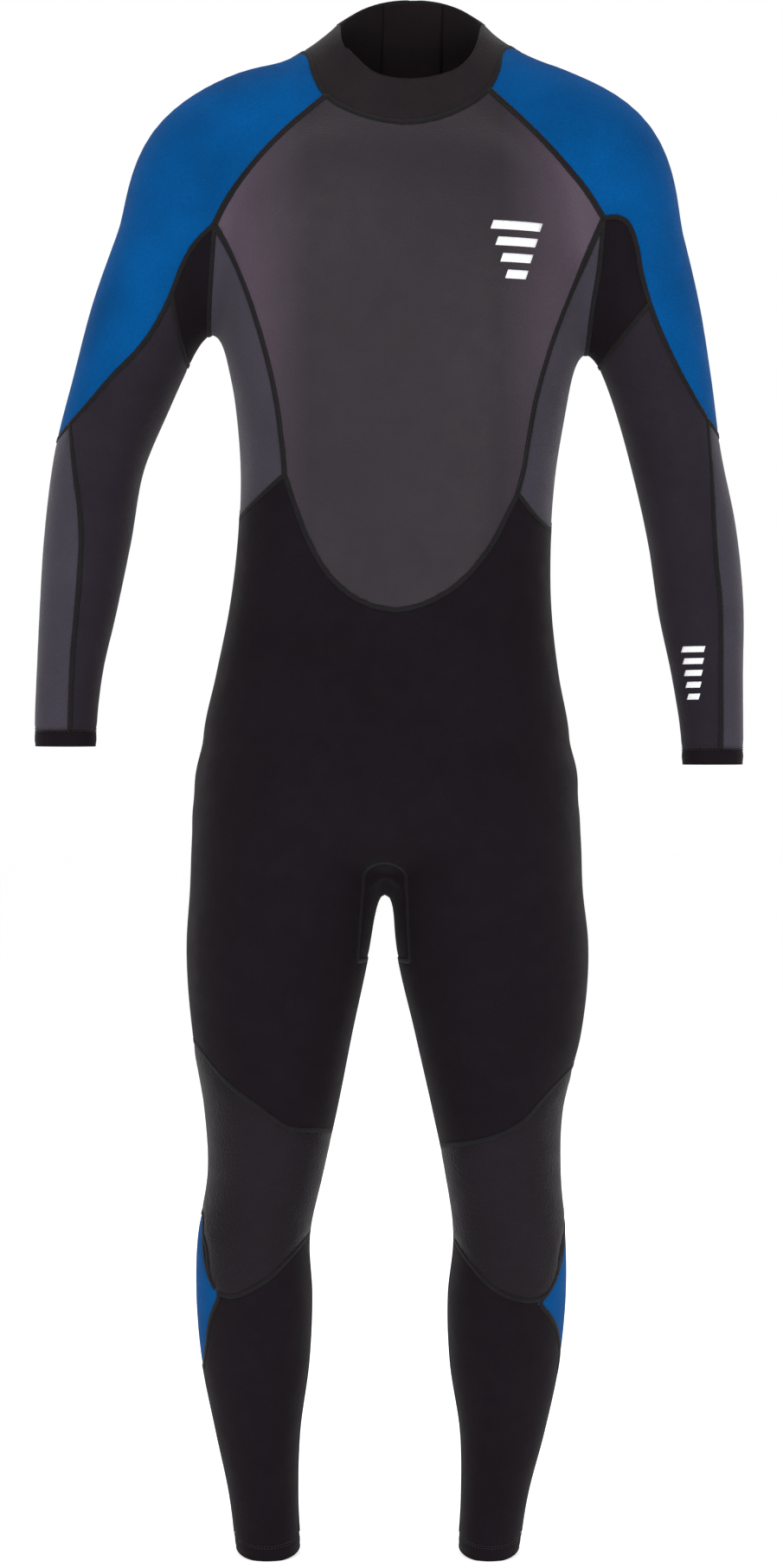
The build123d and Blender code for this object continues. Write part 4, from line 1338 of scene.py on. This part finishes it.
for end, spans, low, bevel in (
    ("top", [(0.6, STOP_REACH), (-STOP_REACH, -0.6)], -STOP_LENGTH, 0.5),
    ("bottom", [(-STOP_REACH, STOP_REACH)], -ZIP_LENGTH, 0.6),
):
    stops = Heap()
    for span in spans:
        points, faces = soft_block(span, STOP_FACES, (low, low + STOP_LENGTH), bevel)
        stops.add(zip_place(points), faces)
    stops.piece(f"end_stop_{end}", [PLASTIC], "zip_plastic", node=f"zip_stop_{end}", smooth=False)


BACK, FRONT = 1, -1
BEYOND = {BACK: 150.0, FRONT: -140.0}  # depths outside the suit


def surface_at(x, z, face):
    """The spots of one face of the suit at these places of the front view, and the way out there."""
    points = np.stack([x, np.full(len(x), BEYOND[face]), z], 1)
    for _ in range(60):
        points[:, 1] -= face * np.clip(form(points) * 0.9, -3, 6)
    return points, outward(points)


def sheet_faces(columns, rows):
    """The faces of a closed sheet of columns x rows spots above, then as many below."""
    n = columns * rows
    faces = []
    for i in range(columns - 1):
        for j in range(rows - 1):
            a, b, c, d = i * rows + j, (i + 1) * rows + j, (i + 1) * rows + j + 1, i * rows + j + 1
            faces.append((a, d, c, b))
            faces.append((a + n, b + n, c + n, d + n))
    ring = [i * rows for i in range(columns)]
    ring += [(columns - 1) * rows + j for j in range(1, rows)]
    ring += [i * rows + rows - 1 for i in range(columns - 2, -1, -1)]
    ring += list(range(rows - 2, 0, -1))
    for a, b in zip(ring, ring[1:] + ring[:1]):
        faces.append((a, b, b + n, a + n))
    return faces


def spread_out(columns, rows):
    """Shares across and up, from 0 to 1, of each spot of a sheet."""
    across, up = np.meshgrid(np.linspace(0, 1, columns), np.linspace(0, 1, rows), indexing="ij")
    return across.ravel(), up.ravel()


def curtain(x_span, z_span, columns, rows, low, high, round_ends=False, slant=False):
    """A closed sheet that follows the back of the suit, between two heights above it, which may change."""
    uu, vv = spread_out(columns, rows)
    z = z_span[0] + vv * (z_span[1] - z_span[0])
    x = x_span[0] + uu * (x_span[1] - x_span[0])
    if slant:
        x = x + zip_line(z) - ZIP_TOP[0]
    if round_ends:
        middle, half = (z_span[0] + z_span[1]) / 2, (z_span[1] - z_span[0]) / 2
        reach = np.clip((np.abs(z - middle) - (half - TAB_CORNER)) / TAB_CORNER, 0, 1)
        x = np.minimum(x, x_span[1] - TAB_CORNER * (1 - np.sqrt(1 - reach**2)))
    base, up = surface_at(x, z, BACK)
    low_at = low(z) if callable(low) else np.full(len(z), low)
    high_at = high(z) if callable(high) else np.full(len(z), high)
    from_side = np.minimum(uu, 1 - uu) * (columns - 1)
    from_end = np.minimum(vv, 1 - vv) * (rows - 1)
    soft = np.clip(1 - np.minimum(from_side, from_end), 0, 1) * 0.3 * (high_at - low_at)
    top = base + up * (high_at - soft)[:, None]
    bottom = base + up * (low_at + soft)[:, None]
    return np.concatenate([top, bottom]), sheet_faces(columns, rows), base, up


def flap_depth(inward, above):
    """How far inside the face of the back the flap lies: deep behind the zip, close behind the collar."""
    return lambda z: inward + (above - inward) * np.clip((z - (ZIP_TOP[1] + 7)) / 40, 0, 1)


FLAP_HALF = 30.0
FLAP_FOOT, FLAP_TOP = 985.0, 1501.0
FLAP_ARCH = 6.0  # its top edge is an arch, like the collar's back rim outside it
ARCH_HEIGHT = 31.0

points, faces, _, _ = curtain(
    (ZIP_TOP[0] - FLAP_HALF, ZIP_TOP[0] + FLAP_HALF), (FLAP_FOOT, FLAP_TOP), 17, 114,
    flap_depth(-9.4, -6.6), flap_depth(-7.6, -4.6), slant=True,
)
from_middle = (points[:, 0] - zip_line(points[:, 2])) / FLAP_HALF
share = np.clip((points[:, 2] - (FLAP_TOP - ARCH_HEIGHT)) / ARCH_HEIGHT, 0, 1)
points[:, 2] -= FLAP_ARCH * from_middle**2 * share
flap = add_piece("inner_flap", points, faces, [LINING], "lining_jersey", node="zip_flap")

# ---------------------------------------------------------------- collar tab

TAB_Z = (1438.0, 1471.0)
TAB_ROOT, TAB_HINGE, TAB_TIP = -34.0, -11.5, 62.0
TAB_SINK = 1.3  # how much lower the tab lies where it is sewn down
TAB_EDGE = 3.5  # from the tab's edge to its stitches
PATCH_X = (30, 59)
PATCH_Z = (1441, 1468)


def tab_sink(x):
    return np.clip((TAB_HINGE - x) / (TAB_HINGE - TAB_ROOT), 0, 1) * TAB_SINK


points, faces, base, up = curtain((TAB_ROOT, TAB_TIP), TAB_Z, 66, 24, 1.5, 3.2, round_ends=True)
points = points - np.tile(up * tab_sink(base[:, 0])[:, None], (2, 1))
tab = add_piece("closure_tab", points, faces, [BLACK], "black_jersey", node="collar_tab", body=None)
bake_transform(tab)
for name, layers, body in (("hook_patch", (0.95, 1.5), "tab"), ("loop_patch", (0.2, 0.75), "suit")):
    points, faces, _, _ = curtain(PATCH_X, PATCH_Z, 24, 22, *layers)
    patch = add_piece("grip_" + name, points, faces, [GRIP], "hook_and_loop", node=name, body=body)

tab_threads = Heap()
low, high, tip = TAB_Z[0] + TAB_EDGE, TAB_Z[1] - TAB_EDGE, TAB_TIP - TAB_EDGE
root, cut = -30.0, 6.5
outline = np.array([
    (root, low), (tip - cut, low), (tip, low + cut), (tip, high - cut), (tip - cut, high), (root, high),
    (root, low),
])
run = run_of(outline)
x, z = read_at(np.linspace(0, run[-1], 120), run, outline).T
base, up = surface_at(x, z, BACK)
line = base + up * (3.25 - tab_sink(x))[:, None]
stitches(tab_threads, line, up, length=2.2, gap=0.9, lift=0.0, radius=0.28)
stitching = tab_threads.piece("tab_stitching", [THREAD], "seam_tape", body=None)
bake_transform(stitching)

threads.piece("stitching", [THREAD], "seam_tape")

# ---------------------------------------------------------------- prints


def print_bars(name, bars):
    """Plain printed bars on the suit's front. Each is a middle (x, z), a length, a height and a slant."""
    heap = Heap()
    columns, rows = 15, 5
    for x, z, length, height, slant in bars:
        across, upward = spread_out(columns, rows)
        rise = (upward - 0.5) * height
        spots, up = surface_at(x + (across - 0.5) * length + rise * slant, z + rise, FRONT)
        faces = [face[::-1] for face in sheet_faces(columns, rows)]
        heap.add(np.concatenate([spots + up * 0.22, spots - up * 0.3]), faces)
    heap.piece(name, [INK], "print_white")


print_bars("chest_print", [(118, 1254 - 15 * i, 46 - 9 * i, 8, 0.35) for i in range(4)])
print_bars("sleeve_print", [(283, 866 - 11 * i, 20 - 2.5 * i, 5.5, 0.3) for i in range(5)])

# ---------------------------------------------------------------- the hard parts that stay as CAD

for name in ("zip_slider", "zip_pull"):
    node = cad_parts[name]
    node.data.materials.clear()
    node.data.materials.append(METAL)

# ---------------------------------------------------------------- floor, light and camera

FLOOR_SIZE = 60.0
floor_mesh = bpy.data.meshes.new("floor")
h = FLOOR_SIZE / 2
floor_mesh.from_pydata([(-h, -h, 0), (h, -h, 0), (h, h, 0), (-h, h, 0)], [], [(0, 1, 2, 3)])
floor = bpy.data.objects.new("floor", floor_mesh)
bpy.context.scene.collection.objects.link(floor)
pale = bpy.data.materials.new("pale_floor")
pale.use_nodes = True
for socket, value in (
    ("Base Color", (0.9, 0.9, 0.9, 1)), ("Roughness", 0.9), ("Specular IOR Level", 0.1),
    ("Emission Color", (1, 1, 1, 1)), ("Emission Strength", 0.5),
):
    pale.node_tree.nodes["Principled BSDF"].inputs[socket].default_value = value
floor_mesh.materials.append(pale)

scene = bpy.context.scene
scene.view_settings.view_transform = "Standard"
world = bpy.data.worlds.new("World")
scene.world = world
world.use_nodes = True
nodes, links = world.node_tree.nodes, world.node_tree.links
fill = nodes["Background"]
seen = nodes.new("ShaderNodeBackground")
for background, strength in ((fill, 0.55), (seen, 1.0)):
    background.inputs["Color"].default_value = (1, 1, 1, 1)
    background.inputs["Strength"].default_value = strength
path = nodes.new("ShaderNodeLightPath")
mix = nodes.new("ShaderNodeMixShader")
links.new(path.outputs["Is Camera Ray"], mix.inputs[0])
links.new(fill.outputs[0], mix.inputs[1])
links.new(seen.outputs[0], mix.inputs[2])
links.new(mix.outputs[0], nodes["World Output"].inputs[0])

MIDDLE = Vector((0, 0, 0.8))
for name, place, size, power in (
    ("key", (-1.8, -3.2, 2.4), 2.2, 62.0),
    ("front", (1.6, -3.4, 1.3), 2.4, 52.0),
    ("top", (0.2, 0.6, 3.6), 2.0, 30.0),
    ("back_left", (2.4, 2.8, 1.8), 1.8, 34.0),
    ("back_right", (-2.4, 2.8, 1.8), 1.8, 34.0),
):
    lamp = bpy.data.lights.new(name, "AREA")
    lamp.energy = power
    lamp.size = size
    holder = bpy.data.objects.new(name, lamp)
    scene.collection.objects.link(holder)
    holder.location = place
    holder.rotation_euler = (MIDDLE - Vector(place)).to_track_quat("-Z", "Y").to_euler()

# A level camera, far enough off that the suit is hardly foreshortened.
SENSOR = 36.0
CAMERA_X, CAMERA_HEIGHT = 2.9, 741.0
DISTANCE = 3000.0
VIEW_HEIGHT = 1486.0  # what the picture takes in, at the middle of the suit

camera = bpy.data.cameras.new("Camera")
camera.sensor_fit = "VERTICAL"
camera.sensor_height = SENSOR
camera.lens = SENSOR * DISTANCE / VIEW_HEIGHT
holder = bpy.data.objects.new("Camera", camera)
scene.collection.objects.link(holder)
holder.location = to_frame([(CAMERA_X, -DISTANCE, CAMERA_HEIGHT)])[0]
holder.rotation_euler = (math.radians(90), 0, 0)
scene.camera = holder
